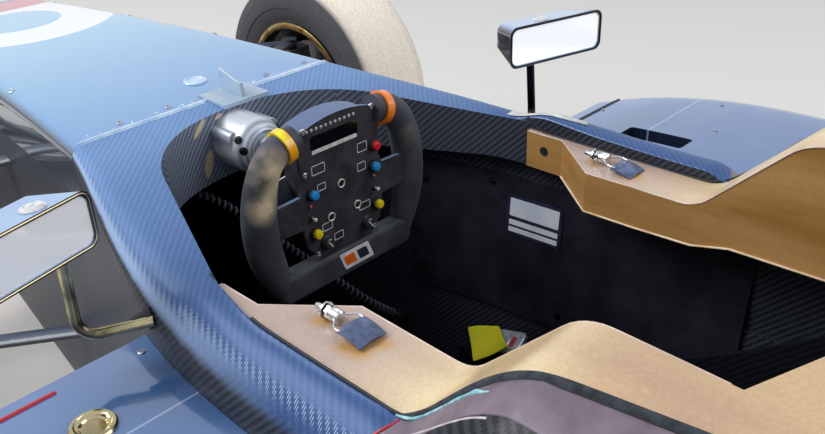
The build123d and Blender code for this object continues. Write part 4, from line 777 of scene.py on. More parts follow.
for side, name in sides:
    pod = f"sidepod_{name}"
    skin(pod, f"painted_pod_{name}", pod_paint)
    stripe = []
    for step in range(stripe_steps + 1):
        y = side * (stripe_from_y + (stripe_to_y - stripe_from_y) * step / stripe_steps)
        stripe.append(surface_at(pod, (0.30, y, 0.60), (0.16, y, 0.44))[0])
    stripe_film = red_paint_line if side > 0 else black_rubber
    round_bead(f"pod_edge_stripe_{name}", stripe, 0.0024, stripe_film, "chassis")
    ring_spot = standing(top_of(pod, filler_x, side * filler_y), (0, 0, 1))
    add_piece(turned(filler_ring, 40), f"pod_filler_ring_{name}", polished, "chassis", matrix=ring_spot)
    pod_spots = top_spots(pod, [(x, side * y) for x, y in pod_screw_plan])
    screws(f"pod_screws_{name}", pod_spots, 0.004, zinc_steel, "chassis")
    # a dark sheet closes the vent: painted shade in its recess
    vent_shade_sheet = bmesh.new()
    bmesh.ops.create_grid(vent_shade_sheet, x_segments=1, y_segments=1, size=0.5)
    bmesh.ops.scale(vent_shade_sheet, vec=vent_size, verts=vent_shade_sheet.verts)
    vent_x, vent_y, vent_z = vent_place
    bmesh.ops.translate(vent_shade_sheet, vec=(vent_x, side * vent_y, vent_z), verts=vent_shade_sheet.verts)
    bmesh.ops.solidify(vent_shade_sheet, geom=vent_shade_sheet.faces[:], thickness=0.002)
    add_piece(vent_shade_sheet, f"pod_vent_shade_{name}", vent_shade_black, "chassis")

# Radiators: flat tubes with folded fins between them, brazed from aluminium as one core and stood
# behind each pod's duct. The fins read as fine ridges.
core, tree, shader, place = new_surface("brazed_aluminium_core", "#6f7276", 0.5, 0.8)
fins = add_node(tree, "TexWave", {"Vector": (place, "Object"), "Scale": 60.0, "Distortion": 0.3},
                bands_direction="Z")
relief(shader, fins, 1.5)
skin("radiators", "radiator_cores", core)

# Engine cover and roll hoop: a composite cover in dark blue gloss like the pods, its top painted lighter
# as a painted sky reflection, screwed down along both sides, behind a carbon hoop whose inlet has a
# rolled edge of dark rubber.
cover_paint, tree, shader, place = new_surface("gloss_cover_paint", "#34497a", 0.14, 0.15, Coat_Weight=1.0,
                                               Coat_Roughness=0.03)
facing = add_node(tree, "SeparateXYZ", {0: (place, "Normal")})
# painted sky reflection: the top is lighter blue in patches, the sides dark
lit_top_share = upward_share(tree, facing, 0.0, 0.9)
patches = add_node(tree, "TexNoise", {"Vector": (place, "Object"), "Scale": 1000 / 260, "Detail": 3.0})
tones = mix_colours(tree, patches, "#41598a", "#6a86b2")
colour_with(shader, mix_colours(tree, lit_top_share, "#223050", tones))
skin("engine_cover", "painted_engine_cover", cover_paint)


def carbon_twill(name, dark, light, roughness, metallic, coat=0.5, specular=0.5):
    """Lacquered carbon twill: two tones of tow, a shallow weave and a clear coat."""
    material, tree, shader, place = new_surface(name, dark, roughness, metallic, Coat_Weight=coat,
                                                Coat_Roughness=0.08, Specular_IOR_Level=specular)
    on_top, height, _, _ = twill(tree, place, tow_mm)
    colour_with(shader, mix_colours(tree, on_top, dark, light))
    relief(shader, height, 0.08)
    return material


def rounded_outline(half_wide, half_high, corner):
    """A closed loop round a rectangle with rounded corners, as across and up from its middle."""
    corner_steps = 6
    outline = []
    for wide_sign, high_sign, from_turn in ((1, 1, 0), (-1, 1, 90), (-1, -1, 180), (1, -1, 270)):
        for step in range(corner_steps + 1):
            turn = radians(from_turn + 90 * step / corner_steps)
            outline.append((wide_sign * (half_wide - corner) + corner * cos(turn),
                            high_sign * (half_high - corner) + corner * sin(turn)))
    return outline + outline[:1]


hoop_carbon = carbon_twill("hoop_carbon_twill", "#1b1f28", "#2b303b", 0.28, 0.3)
skin("roll_hoop", "carbon_roll_hoop", hoop_carbon)
cover_front, cover_rear = (-0.46, 0.290), (-1.40, 0.105)
cover_plan = []
for x in (-0.50, -0.70, -0.90, -1.15, -1.36):
    share = (x - cover_front[0]) / (cover_rear[0] - cover_front[0])
    y = cover_front[1] + share * (cover_rear[1] - cover_front[1])
    cover_plan += [(x, y), (x, -y)]
screws("cover_screws", top_spots("engine_cover", cover_plan), 0.0045, zinc_steel, "chassis")
inlet_x, inlet_half_width, inlet_low, inlet_high, inlet_corner = -0.4075, 0.046, 0.800, 0.905, 0.034
inlet_middle, inlet_half_height = (inlet_low + inlet_high) / 2, (inlet_high - inlet_low) / 2
inlet_edge = [(inlet_x, across, inlet_middle + up)
              for across, up in rounded_outline(inlet_half_width, inlet_half_height, inlet_corner)]
round_bead("inlet_edge_trim", inlet_edge, 0.0035, black_rubber, "chassis", kind="POLY")

# Cockpit surround: a stiff shell of golden aramid cloth in resin over foam, wiped smooth, with a satin
# lacquer. Its tops are painted lighter as sunlight falls on them, a pinkish tan on the shelf, a cream
# highlight on the slope and tan on the hump, and its edges carry pale beads of painted highlight.
# Rust from the latch pins has run on it.
aramid, tree, shader, place = new_surface("resin_bonded_aramid", "#b3854a", 0.36, 0.0, Coat_Weight=0.3,
                                          Coat_Roughness=0.25, Specular_IOR_Level=0.4)
split, facing = spot_and_facing(tree, place)
streaks = add_node(tree, "Mapping", {"Vector": (place, "Object"), "Scale": (0.4, 1.0, 2.2)})
drift = add_node(tree, "TexNoise", {"Vector": streaks, "Scale": 1000 / 90, "Detail": 5.0})
drift_share = add_node(tree, "MapRange", {0: drift, "From Min": 0.36, "From Max": 0.64})
ahead = add_node(tree, "MapRange", {0: split, "From Min": -0.13, "From Max": -0.02})
behind = add_node(tree, "MapRange", {0: split, "From Min": -0.215, "From Max": -0.265})
# painted sunlight and highlight on the tops; the sides keep the cloth's gold
lit_shelf_tone = mix_colours(tree, drift_share, "#b09a92", "#c2aca0")
slope_highlight_tone = mix_colours(tree, drift_share, "#dcc19c", "#f7e2b4")
sunlit_hump_tone = mix_colours(tree, drift_share, "#cba98a", "#e3c094")
painted_lit_top_tone = mix_colours(tree, behind, mix_colours(tree, ahead, slope_highlight_tone, lit_shelf_tone), sunlit_hump_tone)
side_tone = mix_colours(tree, drift_share, "#a5783f", "#c49860")
upward = upward_share(tree, facing, 0.35, 0.93)
body_tone = mix_colours(tree, upward, side_tone, painted_lit_top_tone)
fibres = add_node(tree, "TexNoise", {"Vector": (place, "Object"), "Scale": 1000 / 3.0, "Detail": 2.0})
fibre_share = add_node(tree, "MapRange", {0: fibres, "From Min": 0.3, "From Max": 0.7, "To Max": 0.16})
with_fibres = mix_colours(tree, fibre_share, body_tone, "#7a5a34")
latch_y = 0.209
# where rust has run, seen from above, and how far
stains = [(0.0255, 0.2145, 0.011), (-0.0320, 0.2235, 0.013), (-0.0370, 0.2040, 0.011),
          (-0.0180, 0.2275, 0.010), (0.022, -latch_y, 0.014), (-0.030, -0.202, 0.014)]
stained = with_fibres
flat = add_node(tree, "CombineXYZ", {0: split, 1: (split, 1)})
for x, y, size in stains:
    reach = add_node(tree, "VectorMath", {0: flat, 1: (x, y, 0)}, operation="DISTANCE")
    near = add_node(tree, "MapRange", {0: (reach, "Value"), "From Min": 1.3 * size, "From Max": 0.2 * size,
                                       "To Max": 0.78})
    stained = mix_colours(tree, near, stained, "#bd8a2e")
colour_with(shader, stained)
weave = add_node(tree, "TexNoise", {"Vector": (place, "Object"), "Scale": 1000 / 1.1, "Detail": 2.0})
relief(shader, weave, 0.05)
skin("cockpit_liner", "aramid_surround", aramid)

# Surround's edges: a pale bead runs round its inner upper edge and its lower edge as a painted
# highlight, and the flange on each side has a hole, drawn as a dark disc of painted shade.
low_edge_highlight = plain_finish("pale_low_edge_highlight", "#d9c3a0", 0.4, tones=("#c6a97c", "#e8d6ba", 25),
                          Coat_Weight=0.3)
top_edge_highlight = plain_finish("pale_top_edge_highlight", "#d6bfb2", 0.3, tones=("#c2a595", "#ead6c8", 30),
                         Coat_Weight=0.4)
liner_inner = [(0.0885, 0.2355), (0.0150, 0.1765), (-0.050, 0.1785), (-0.118, 0.1804), (-0.160, 0.1815),
               (-0.200, 0.1828), (-0.245, 0.1842), (-0.290, 0.1856), (-0.3285, 0.1872)]
top_edge = [(0.140, 0.2355)]
for (x_ahead, y_ahead), (x_behind, y_behind) in zip(liner_inner, liner_inner[1:]):
    steps = max(1, round((x_ahead - x_behind) / 0.006))
    top_edge += [(x_ahead + (x_behind - x_ahead) * step / steps,
                  y_ahead + (y_behind - y_ahead) * step / steps) for step in range(steps)]
low_edge_z, low_edge_rise = 0.5285, 0.0125
flange_x, flange_z = 0.116, 0.555
for side, name in sides:
    lower = []
    for x, y in liner_inner:
        risen = max(0, min(1, (-0.11 - x) / 0.05))
        lower.append((x, side * (y - 0.0004), low_edge_z + low_edge_rise * risen))
    round_bead(f"surround_low_edge_{name}", lower, 0.0013, low_edge_highlight, "chassis", kind="POLY")
    # a dark disc in the flange's hole: painted shade
    hole_shade_disc = turned([(0.0060, 0), (0.0060, 0.0008), (0.0046, 0.0010), (0.0042, 0.0005), (0, 0.0005)], 30)
    spot, looks = surface_at("cockpit_liner", (flange_x, 0, flange_z), (flange_x, side * 0.4, flange_z))
    hole_shade_spot = standing(spot - 0.0002 * looks, looks)
    add_piece(hole_shade_disc, f"flange_hole_shade_{name}", black_rubber, "chassis", matrix=hole_shade_spot)
    upper = [top_of("cockpit_liner", x, side * (edge_y + 0.0014)) + Vector((0, -0.0008 * side, -0.0006))
             for x, edge_y in top_edge]
    round_bead(f"surround_top_edge_{name}", upper, 0.0009, top_edge_highlight, "chassis", kind="POLY")

# Latch pins: a knurled chrome head on a short pin with a washer, a bent wire loop through the head
# and a folded tag of blue-black plastic. They lie on the shelf when the surround is out.
chrome = plain_finish("bright_nickel_plate", "#d7d9da", 0.12, 1.0, grit=(2, 0.015))
tag_plastic = plain_finish("blue_black_vinyl", "#48546f", 0.3, tones=("#3a4560", "#5a6a90", 9),
                           grit=(1.0, 0.06))
latch_high = 0.5853
latch_profile = [(0, 0.0060), (0.0050, 0.0060), (0.0065, 0.0072), (0.0065, 0.0090), (0.0058, 0.0096),
                 (0.0065, 0.0102), (0.0065, 0.0118), (0.0058, 0.0124), (0.0065, 0.0130), (0.0065, 0.0168),
                 (0.0050, 0.0180), (0.0030, 0.0182), (0.0030, 0.0240), (0.0080, 0.0241), (0.0080, 0.0258),
                 (0.0036, 0.0260), (0.0035, 0.0350), (0.0022, 0.0380), (0, 0.0381)]
# how far ahead of the head's middle, out from it and up the bent wire runs
wire_bends = [(0.0125, 0.0052, 0), (0.0052, 0.0085, 0.0006), (0.0010, 0.0132, 0.0004), (-0.0040, 0.0142, 0),
              (-0.0105, 0.0130, -0.0008)]
nut_along = 0.0182
for side, name in sides:
    y = side * latch_y
    lying = Matrix.Translation((0, y, latch_high)) @ Matrix.Rotation(pi / 2, 4, "Y")
    whole = bmesh.new()
    put(whole, turned(latch_profile, 32), lying)
    hex_nut = turned([(0.0062, 0), (0.0062, 0.0046), (0, 0.0046)], 6)
    put(whole, hex_nut, lying @ Matrix.Translation((0, 0, nut_along)))
    pin = add_piece(whole, f"latch_pin_{name}", chrome, "chassis")
    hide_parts("latch_pins")
    for reach, leg in ((1, "outer"), (-1, "inner")):
        bent = [(x, y + reach * out, latch_high + up) for x, out, up in wire_bends]
        round_bead(f"latch_wire_{name}_{leg}", bent, 0.0011, chrome, "chassis", kind="POLY")
    tag = bmesh.new()
    bmesh.ops.create_grid(tag, x_segments=10, y_segments=8, size=0.5)
    for vertex in tag.verts:
        u, v = vertex.co.x + 0.5, vertex.co.y
        fold = 0.0016 * sin(pi * u) + 0.0009 * cos(2.2 * pi * v)
        vertex.co = (-0.0055 - 0.0270 * u, side * (latch_y + 0.0310 * v),
                     latch_high - 0.0010 - 0.0052 * u + fold)
    bmesh.ops.recalc_face_normals(tag, faces=tag.faces)
    tag_piece = add_piece(tag, f"latch_tag_{name}", tag_plastic, "chassis")
    add_thickness(tag_piece, "vinyl", 0.0024, -1)
    edges = tag_piece.modifiers.new("edges", "BEVEL")
    edges.width = 0.0004
    edges.segments = 2

# Inside the cockpit: matt black boards beside the legs, each held by button screws, and the thin
# carbon seat. The boards are pressed fibre, so they take no shine.
black_board = plain_finish("matt_black_board", "#0f1018", 0.8, tones=("#1a1923", "#282632", 40),
                           grit=(1.2, 0.12), Specular_IOR_Level=0.1)
inner_carbon = carbon_twill("bare_carbon_inside", "#0e1016", "#191c25", 0.42, 0.1, coat=0.1, specular=0.25)
skin("cockpit_panels", "side_boards", black_board)
skin("seat", "carbon_seat", inner_carbon)


def side_spots(node, places, from_y, to_y=0.0):
    """Where rays across the car at the given x and z meet a solid on its left, then its right."""
    return [surface_at(node, (x, side * from_y, z), (x, side * to_y, z))
            for side, _ in sides for x, z in places]


black_oxide = plain_finish("black_oxide_steel", "#17181b", 0.4, 0.7, grit=(0.7, 0.02))
board_places = [(-0.14, 0.32), (-0.14, 0.48), (0.08, 0.32), (0.30, 0.33), (0.30, 0.47), (0.20, 0.485)]
screws("board_screws", side_spots("cockpit_panels", board_places, 0.0, 0.4), 0.0035, black_oxide, "chassis",
       1.5)

# Label plate: a blank printed plate bonded to the right-hand board, white with a dark blue border.
# What the real one says is left off.
plate_white = plain_finish("white_printed_film", "#dfe6f2", 0.3, tones=("#d2dcee", "#e9eef6", 30))
plate_blue = plain_finish("dark_blue_printed_film", "#262d44", 0.35, tones=("#20263a", "#2e3650", 20))


def rounded_plate(width, height, thick, corner, edge=0.0):
    """A flat plate about the origin, its corners rounded and its upper rim softened."""
    shape = bmesh.new()
    bmesh.ops.create_cube(shape, size=1)
    bmesh.ops.scale(shape, vec=(width, height, thick), verts=shape.verts)
    bevels = dict(offset_type="OFFSET", affect="EDGES", profile=0.5, material=-1)
    uprights = [e for e in shape.edges if abs(e.verts[0].co.z - e.verts[1].co.z) > thick / 2]
    bmesh.ops.bevel(shape, geom=uprights, offset=corner, segments=5, **bevels)
    if edge:
        upper = [e for e in shape.edges if all(v.co.z > thick / 2 - 1e-6 for v in e.verts)]
        bmesh.ops.bevel(shape, geom=upper, offset=edge, segments=3, **bevels)
    return shape


label_x = 0.1315
label_z = 0.4465
label_size = (0.086, 0.058)
label_place, label_facing = surface_at("cockpit_panels", (label_x, 0, label_z), (label_x, -0.4, label_z))
label_up = Vector((0, 0, 1))
label_up = (label_up - label_facing * label_up.dot(label_facing)).normalized()
label_across = label_up.cross(label_facing)
label_turn = Matrix((label_across, label_up, label_facing)).transposed().to_4x4()


def on_label(across, up, out):
    """The matrix of a spot on the label, measured from its middle."""
    return Matrix.Translation(label_place) @ label_turn @ Matrix.Translation((across, up, out))


for name, material, parts in (
        ("label_plate", plate_blue, [(0, 0, 0.0006, label_size, 0.0008, 0.006)]),
        ("label_face", plate_white, [(0, 0.0115, 0.0011, (0.076, 0.026), 0.0003, 0.002),
                                     (0, -0.0105, 0.0011, (0.076, 0.0075), 0.0003, 0.001),
                                     (0, -0.0210, 0.0011, (0.076, 0.0070), 0.0003, 0.001)])):
    shape = bmesh.new()
    for across_label, up_label, out, size, thick, corner in parts:
        put(shape, rounded_plate(*size, thick, corner), on_label(across_label, up_label, out))
    add_piece(shape, name, material, "chassis")

# Harness: black webbing that comes over the seat's edge, a forged alloy buckle with red release tabs
# and bright pins, and a folded tag of yellow cloth sewn to it.
webbing, tree, shader, place = new_surface("woven_black_webbing", "#14151a", 0.85, Sheen_Weight=0.25)
ribs = add_node(tree, "TexWave", {"Vector": (place, "Object"), "Scale": 140.0, "Distortion": 0.4,
                                  "Detail": 1.0}, bands_direction="DIAGONAL")
colour_with(shader, mix_colours(tree, ribs, "#0d0e12", "#23252c"))
relief(shader, ribs, 0.25)
forged = plain_finish("polished_forged_alloy", "#c3c9d6", 0.24, 0.55, tones=("#c6cee0", "#eef1f8", 14))
red_tab = plain_finish("red_moulded_tab", "#c01f2b", 0.3, grit=(1.2, 0.04), Coat_Weight=0.5)
yellow_cloth, tree, shader, place = new_surface("woven_yellow_cloth", "#a3a31f", 0.9)
threads = add_node(tree, "TexNoise", {"Vector": (place, "Object"), "Scale": 1000 / 1.2, "Detail": 2.0})
colour_with(shader, mix_colours(tree, threads, "#cfcc1c", "#f0ea30"))
relief(shader, threads, 0.2)

edge_rear, edge_front = Vector((0.020, 0, 0.290)), Vector((0.215, 0, 0.230))
edge_run = (edge_front - edge_rear).normalized()
edge_up = Vector((-edge_run.z, 0, edge_run.x))
buckle_middle = edge_rear + 0.6 * (edge_front - edge_rear) + Vector((0, -0.198, 0)) + 0.0003 * edge_up
buckle_lean = -28
buckle_turn = (Matrix((edge_run, edge_up.cross(edge_run), edge_up)).transposed().to_4x4()
               @ Matrix.Translation((0.004, -0.004, 0.0085))
               @ Matrix.Rotation(radians(buckle_lean), 4, "X"))


def on_buckle(forwards, left, above, turn=0.0):
    """The matrix of a spot on the buckle's plane, turned about its normal."""
    return (Matrix.Translation(buckle_middle) @ buckle_turn @ Matrix.Translation((forwards, left, above))
            @ Matrix.Rotation(radians(turn), 4, "Z"))


body_shape = bmesh.new()
put(body_shape, rounded_plate(0.062, 0.037, 0.0055, 0.006, 0.0016), on_buckle(0, 0, 0.00275))
put(body_shape, turned([(0.0155, 0), (0.0155, 0.0022), (0.0140, 0.0034), (0.0060, 0.0036), (0.0050, 0.0028),
                        (0, 0.0028)], 36), on_buckle(0.004, 0, 0.0052))
for forwards, left in ((-0.026, 0.012), (-0.026, -0.012), (0.026, 0.012)):
    put(body_shape, turned([(0.0034, 0), (0.0034, 0.0022), (0.0024, 0.0032), (0, 0.0034)], 20),
        on_buckle(forwards, left, 0.0054))
buckle = add_piece(body_shape, "harness_buckle_body", forged, "chassis")
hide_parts("harness_buckle")
tab_shape = bmesh.new()
for forwards, left, turn in ((0.005, 0.0085, 8), (0.005, -0.0085, -8), (-0.016, 0.0, 90)):
    put(tab_shape, rounded_plate(0.016, 0.0060, 0.0026, 0.0018, 0.0008),
        on_buckle(forwards, left, 0.0068, turn))
add_piece(tab_shape, "harness_red_tabs", red_tab, "chassis")

strap_width = 0.036
# along the seat's edge, to its left and above it, from the buckle backwards
strap_route = ((-0.030, 0.0, 0.0045), (-0.046, 0.001, 0.0055), (-0.066, 0.004, 0.0048),
               (-0.092, 0.008, 0.0042), (-0.120, 0.012, 0.0046))
strap_path = open_curve("hip_strap_line", [buckle_middle + edge_run * along + Vector((0, left, 0))
                                           + edge_up * above for along, left, above in strap_route])
strap_line = line_points(strap_path)
bpy.data.objects.remove(strap_path)
strap_parts = 4
strap = bmesh.new()
rows = [[strap.verts.new(point + Vector((0, strap_width * (step / strap_parts - 0.5), 0)))
         for step in range(strap_parts + 1)] for point in strap_line]
for first, second in zip(rows, rows[1:]):
    for step in range(strap_parts):
        strap.faces.new((first[step], second[step], second[step + 1], first[step + 1]))
bmesh.ops.recalc_face_normals(strap, faces=strap.faces)
hip_strap = add_piece(strap, "hip_strap_webbing", webbing, "chassis")
add_thickness(hip_strap, "webbing", 0.0022, 0)
# the cloth lies over the seat's edge and the buckle's end, and its near corner hangs inside
first, second, third, fourth = (Vector(corner)
                                for corner in ((0.2058, -0.1911, 0.2640), (0.1640, -0.2100, 0.2775),
                                               (0.1235, -0.1790, 0.2765), (0.1690, -0.1600, 0.2375)))
cloth = bmesh.new()
bmesh.ops.create_grid(cloth, x_segments=16, y_segments=14, size=0.5)
for vertex in cloth.verts:
    u, v = vertex.co.x + 0.5, vertex.co.y + 0.5
    wave = 0.0020 * sin(4.6 * u + 2.2 * v) + 0.0014 * cos(7.0 * v) - 0.0030 * cos(pi * (v - 0.5))
    vertex.co = first.lerp(second, u).lerp(fourth.lerp(third, u), v) + Vector((0, 0.4 * wave, wave))
cloth_piece = add_piece(cloth, "yellow_cloth_tag", yellow_cloth, "chassis")
add_thickness(cloth_piece, "cloth", 0.0012, 0)
cloth_smooth = cloth_piece.modifiers.new("smooth", "SUBSURF")
cloth_smooth.levels = 1
cloth_smooth.render_levels = 1

# Column bracket: a turned alloy boss on a plate, anodised dark, with black screws at its corners.
# Fine turning marks ring the boss, and they draw out its shine. The lead's sockets are moulded nylon.
dark_anodised, tree, shader, place = new_surface("dark_anodised_aluminium", "#6a6e79", 0.36, 0.35)
column_z = 0.566
from_column = add_node(tree, "Mapping", {"Vector": (place, "Object"), "Location": (0, 0, -column_z)},
                       vector_type="POINT")
marks = add_node(tree, "TexWave", {"Vector": from_column, "Scale": 55.0, "Distortion": 0.4},
                 wave_type="RINGS", rings_direction="X")
colour_with(shader, mix_colours(tree, marks, "#969ba9", "#ccd1db"))
relief(shader, marks, 0.12)
skin("column_bracket", "turned_bracket", dark_anodised)
bracket_screws = [surface_at("column_bracket", (0.30, y, z), (0.45, y, z))
                  for y in (0.031, -0.031) for z in (0.585, 0.572)]
screws("bracket_screws", bracket_screws, 0.0042, black_oxide, "chassis", 1.3)
socket_plastic = plain_finish("black_moulded_nylon", "#16171b", 0.5, grit=(0.9, 0.04))
skin("cord_sockets", "lead_sockets", socket_plastic)

# Steering wheel's face: a moulded black plate in front of its electronics box. A row of small lamps
# and a dark display sit under the arch, and the buttons' caps stand in black bezels.
wheel_face_x = 0.235
column_high = 0.574
face_plastic, tree, shader, place = new_surface("matt_black_moulding", "#26262a", 0.45,
                                                Specular_IOR_Level=0.3)
facing = add_node(tree, "SeparateXYZ", {0: (place, "Normal")})
tones = mottle(shader, place, "#2a2931", "#403e46", 26, 6.0)
# painted sky reflection: the box's top faces are painted blue grey
box_top_sky_share = upward_share(tree, facing, 0.5, 0.9)
colour_with(shader, mix_colours(tree, box_top_sky_share, tones, "#5f6f92"))
grain(shader, place, 0.9, 0.06)
skin("steering_face", "wheel_face_plate", face_plastic)


def on_face(right, height, out=0.0, turn=0.0):
    """The matrix of a spot on the wheel's face: right of the middle, over the column, and out of it."""
    facing_driver = Matrix(((0, 0, -1, wheel_face_x - out), (-1, 0, 0, -right),
                            (0, 1, 0, column_high + height), (0, 0, 0, 1)))
    return facing_driver @ Matrix.Rotation(radians(turn), 4, "Z")


def face_piece(name, parts, material):
    """Like small shapes set on the wheel's face as one piece."""
    shape = bmesh.new()
    for part, matrix in parts:
        put(shape, part, matrix)
    return add_piece(shape, name, material, "steering_wheel")


display_glass, tree, shader, place = new_surface("dark_display_glass", "#0b0c10", 0.08, Coat_Weight=1.0)
rows_of_glass = add_node(tree, "TexWave", {"Vector": (place, "Object"), "Scale": 160.0},
                         bands_direction="Z")
colour_with(shader, mix_colours(tree, rows_of_glass, "#090a0d", "#121419"))
skin("wheel_display", "display_window", display_glass)
white_print = plain_finish("white_screen_print", "#d6d6d8", 0.5, tones=("#bdbdc0", "#e2e2e4", 6))
lamp_lens = plain_finish("clear_lamp_lens", "#c9cad0", 0.2, tones=("#85878f", "#b9bac1", 3),
                         Coat_Weight=1.0)
lamp_count, first_lamp, lamp_pitch, lamp_high = 11, -0.047, 0.0071, 0.0685
lamp_row = [(turned([(0.0022, 0), (0.0022, 0.0006), (0.0014, 0.0013), (0, 0.0015)], 14),
             on_face(first_lamp + lamp_pitch * index, lamp_high)) for index in range(lamp_count)]
face_piece("shift_lamps", lamp_row, lamp_lens)
face_piece("display_lower_bar", [(rounded_plate(0.069, 0.0046, 0.0005, 0.001),
                                  on_face(-0.0075, 0.0418, 0.0003))], white_print)

button_colours = {
    "red": ("glossy_red_cap", "#d8232b"), "blue": ("glossy_blue_cap", "#1f8fdc"),
    "yellow": ("glossy_yellow_cap", "#e6cf1c"), "white": ("glossy_white_cap", "#d9d6d2"),
    "dark": ("glossy_dark_cap", "#33343b"), "small_red": ("dull_red_cap", "#a8443c"),
}
caps = {key: plain_finish(title, colour, 0.28, grit=(1.5, 0.03), Coat_Weight=0.5)
        for key, (title, colour) in button_colours.items()}
black_bezel = plain_finish("black_moulded_bezel", "#17171a", 0.45, grit=(0.9, 0.04))
# right of the middle, over the column, cap colour, kind
face_buttons = [(0.052, 0.021, "red", "push"), (0.050, -0.006, "blue", "push"),
                (-0.048, -0.007, "blue", "push"), (0.052, -0.058, "yellow", "push"),
                (-0.048, -0.058, "yellow", "push"), (0.050, -0.036, "white", "toggle"),
                (-0.051, -0.037, "white", "toggle"), (0.049, -0.0195, "small_red", "dot"),
                (-0.052, -0.0215, "small_red", "dot"), (0.033, -0.077, "dark", "rotary"),
                (-0.033, -0.077, "dark", "rotary")]
# bezel's profile and steps, cap's profile and steps
button_kinds = {
    "push": ([(0.0080, 0.0003), (0.0080, 0.0030), (0.0074, 0.0040), (0.0064, 0.0042), (0.0061, 0.0034),
              (0, 0.0032)], 32,
             [(0.0058, 0.0030), (0.0058, 0.0072), (0.0050, 0.0086), (0.0030, 0.0092), (0, 0.0093)], 32),
    "toggle": ([(0.0035, 0.0003), (0.0035, 0.0018), (0.0028, 0.0026), (0, 0.0026)], 24,
               [(0.0016, 0.0020), (0.0014, 0.0055), (0.0024, 0.0062), (0.0024, 0.0076), (0.0012, 0.0084),
                (0, 0.0085)], 20),
    "dot": ([(0.0026, 0.0002), (0.0026, 0.0008), (0, 0.0008)], 20,
            [(0.0019, 0.0006), (0.0019, 0.0020), (0.0010, 0.0028), (0, 0.0029)], 20),
    "rotary": ([(0.0090, 0.0003), (0.0090, 0.0018), (0.0082, 0.0024), (0, 0.0024)], 36,
               [(0.0075, 0.0020), (0.0068, 0.0078), (0.0058, 0.0086), (0, 0.0086)], 12),
}
pointer_high, pointer_turn = 0.0089, 35
parts_by_material = {}
for right_of, height_over, colour, kind in face_buttons:
    bezel, bezel_steps, cap, cap_steps = button_kinds[kind]
    spot = on_face(right_of, height_over)
    if kind == "rotary":
        pointer = rounded_plate(0.0016, 0.0100, 0.0008, 0.0006)
        pointer_spot = on_face(right_of, height_over, pointer_high, pointer_turn)
        parts_by_material.setdefault("white", []).append((pointer, pointer_spot))
    parts_by_material.setdefault("bezel", []).append((turned(bezel, bezel_steps), spot))
    parts_by_material.setdefault(colour, []).append((turned(cap, cap_steps), spot))
for key, parts in parts_by_material.items():
    piece = face_piece(f"face_caps_{key}", parts, black_bezel if key == "bezel" else caps[key])
    if key == "bezel":
        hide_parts("wheel_controls")

# White-rimmed blanking sockets, screws and empty printed frames on the face: what the real frames
# say is left off.
socket_places = ((-0.003, -0.010), (-0.022, -0.047), (0.020, -0.047))
rim_profile = [(0.0041, 0.0002), (0.0056, 0.0002), (0.0056, 0.0015), (0.0049, 0.0020), (0.0041, 0.0013),
               (0.0041, 0.0002)]
core_profile = [(0.0042, 0.0001), (0.0042, 0.0006), (0.0034, 0.0008), (0, 0.0004)]
for name, profile, finish in (("face_blanking_sockets", rim_profile, caps["white"]),
                              ("face_socket_cores", core_profile, black_bezel)):
    face_piece(name, [(turned(profile, 30), on_face(*spot)) for spot in socket_places], finish)
screw_places = ((-0.055, 0.019), (0.052, 0.070), (-0.052, 0.071), (0.046, -0.088), (-0.046, -0.088))
face_piece("face_screws", [(socket_screw(0.0036), on_face(*spot)) for spot in screw_places], zinc_steel)


def printed_frame(width, height, line=0.0009):
    """An empty rounded frame, as a thin printed outline."""
    shape = rounded_plate(width, height, 0.0002, 0.0018)
    shape.normal_update()
    lower = [face for face in shape.faces if face.normal.z < 0.9]
    bmesh.ops.delete(shape, geom=lower, context="FACES")
    middle = shape.faces[:]
    bmesh.ops.inset_region(shape, faces=middle, thickness=line, depth=0, use_boundary=True)
    bmesh.ops.delete(shape, geom=middle, context="FACES")
    bmesh.ops.solidify(shape, geom=shape.faces[:], thickness=0.0002)
    return shape


# left edge, right edge, low edge, high edge, all from the middle of the column
frame_edges = [
    (-0.045, -0.025, 0.014, 0.026), (-0.039, -0.026, -0.008, 0.001), (0.026, 0.042, 0.018, 0.030),
    (0.024, 0.038, -0.006, 0.005), (0.023, 0.041, -0.058, -0.048), (-0.037, -0.021, -0.062, -0.052),
    (-0.020, -0.005, -0.081, -0.071),
]
label_frames = [(printed_frame(to_right - to_left, high - low),
                 on_face((to_left + to_right) / 2, (low + high) / 2, 0.0002))
                for to_left, to_right, low, high in frame_edges]
face_piece("face_printed_frames", label_frames, white_print)

# Grips and bottom bar: foam over a carbon core, wrapped in black suede that is stitched along its
# inner side. Hands have polished it, and pale patches on the grips, strongest on the left one, are
# partly wear and partly painted sunlight.
suede, tree, shader, place = new_surface("worn_black_suede", "#1f2128", 0.55, Sheen_Weight=0.1,
                                         Specular_IOR_Level=0.35)
split = add_node(tree, "SeparateXYZ", {0: (place, "Object")})
nap = add_node(tree, "TexNoise", {"Vector": (place, "Object"), "Scale": 1000 / 34, "Detail": 6.0})
nap_share = add_node(tree, "MapRange", {0: nap, "From Min": 0.3, "From Max": 0.7})
nap_wear_and_sunlight = mix_colours(tree, nap_share, "#2a2d36", "#434753")
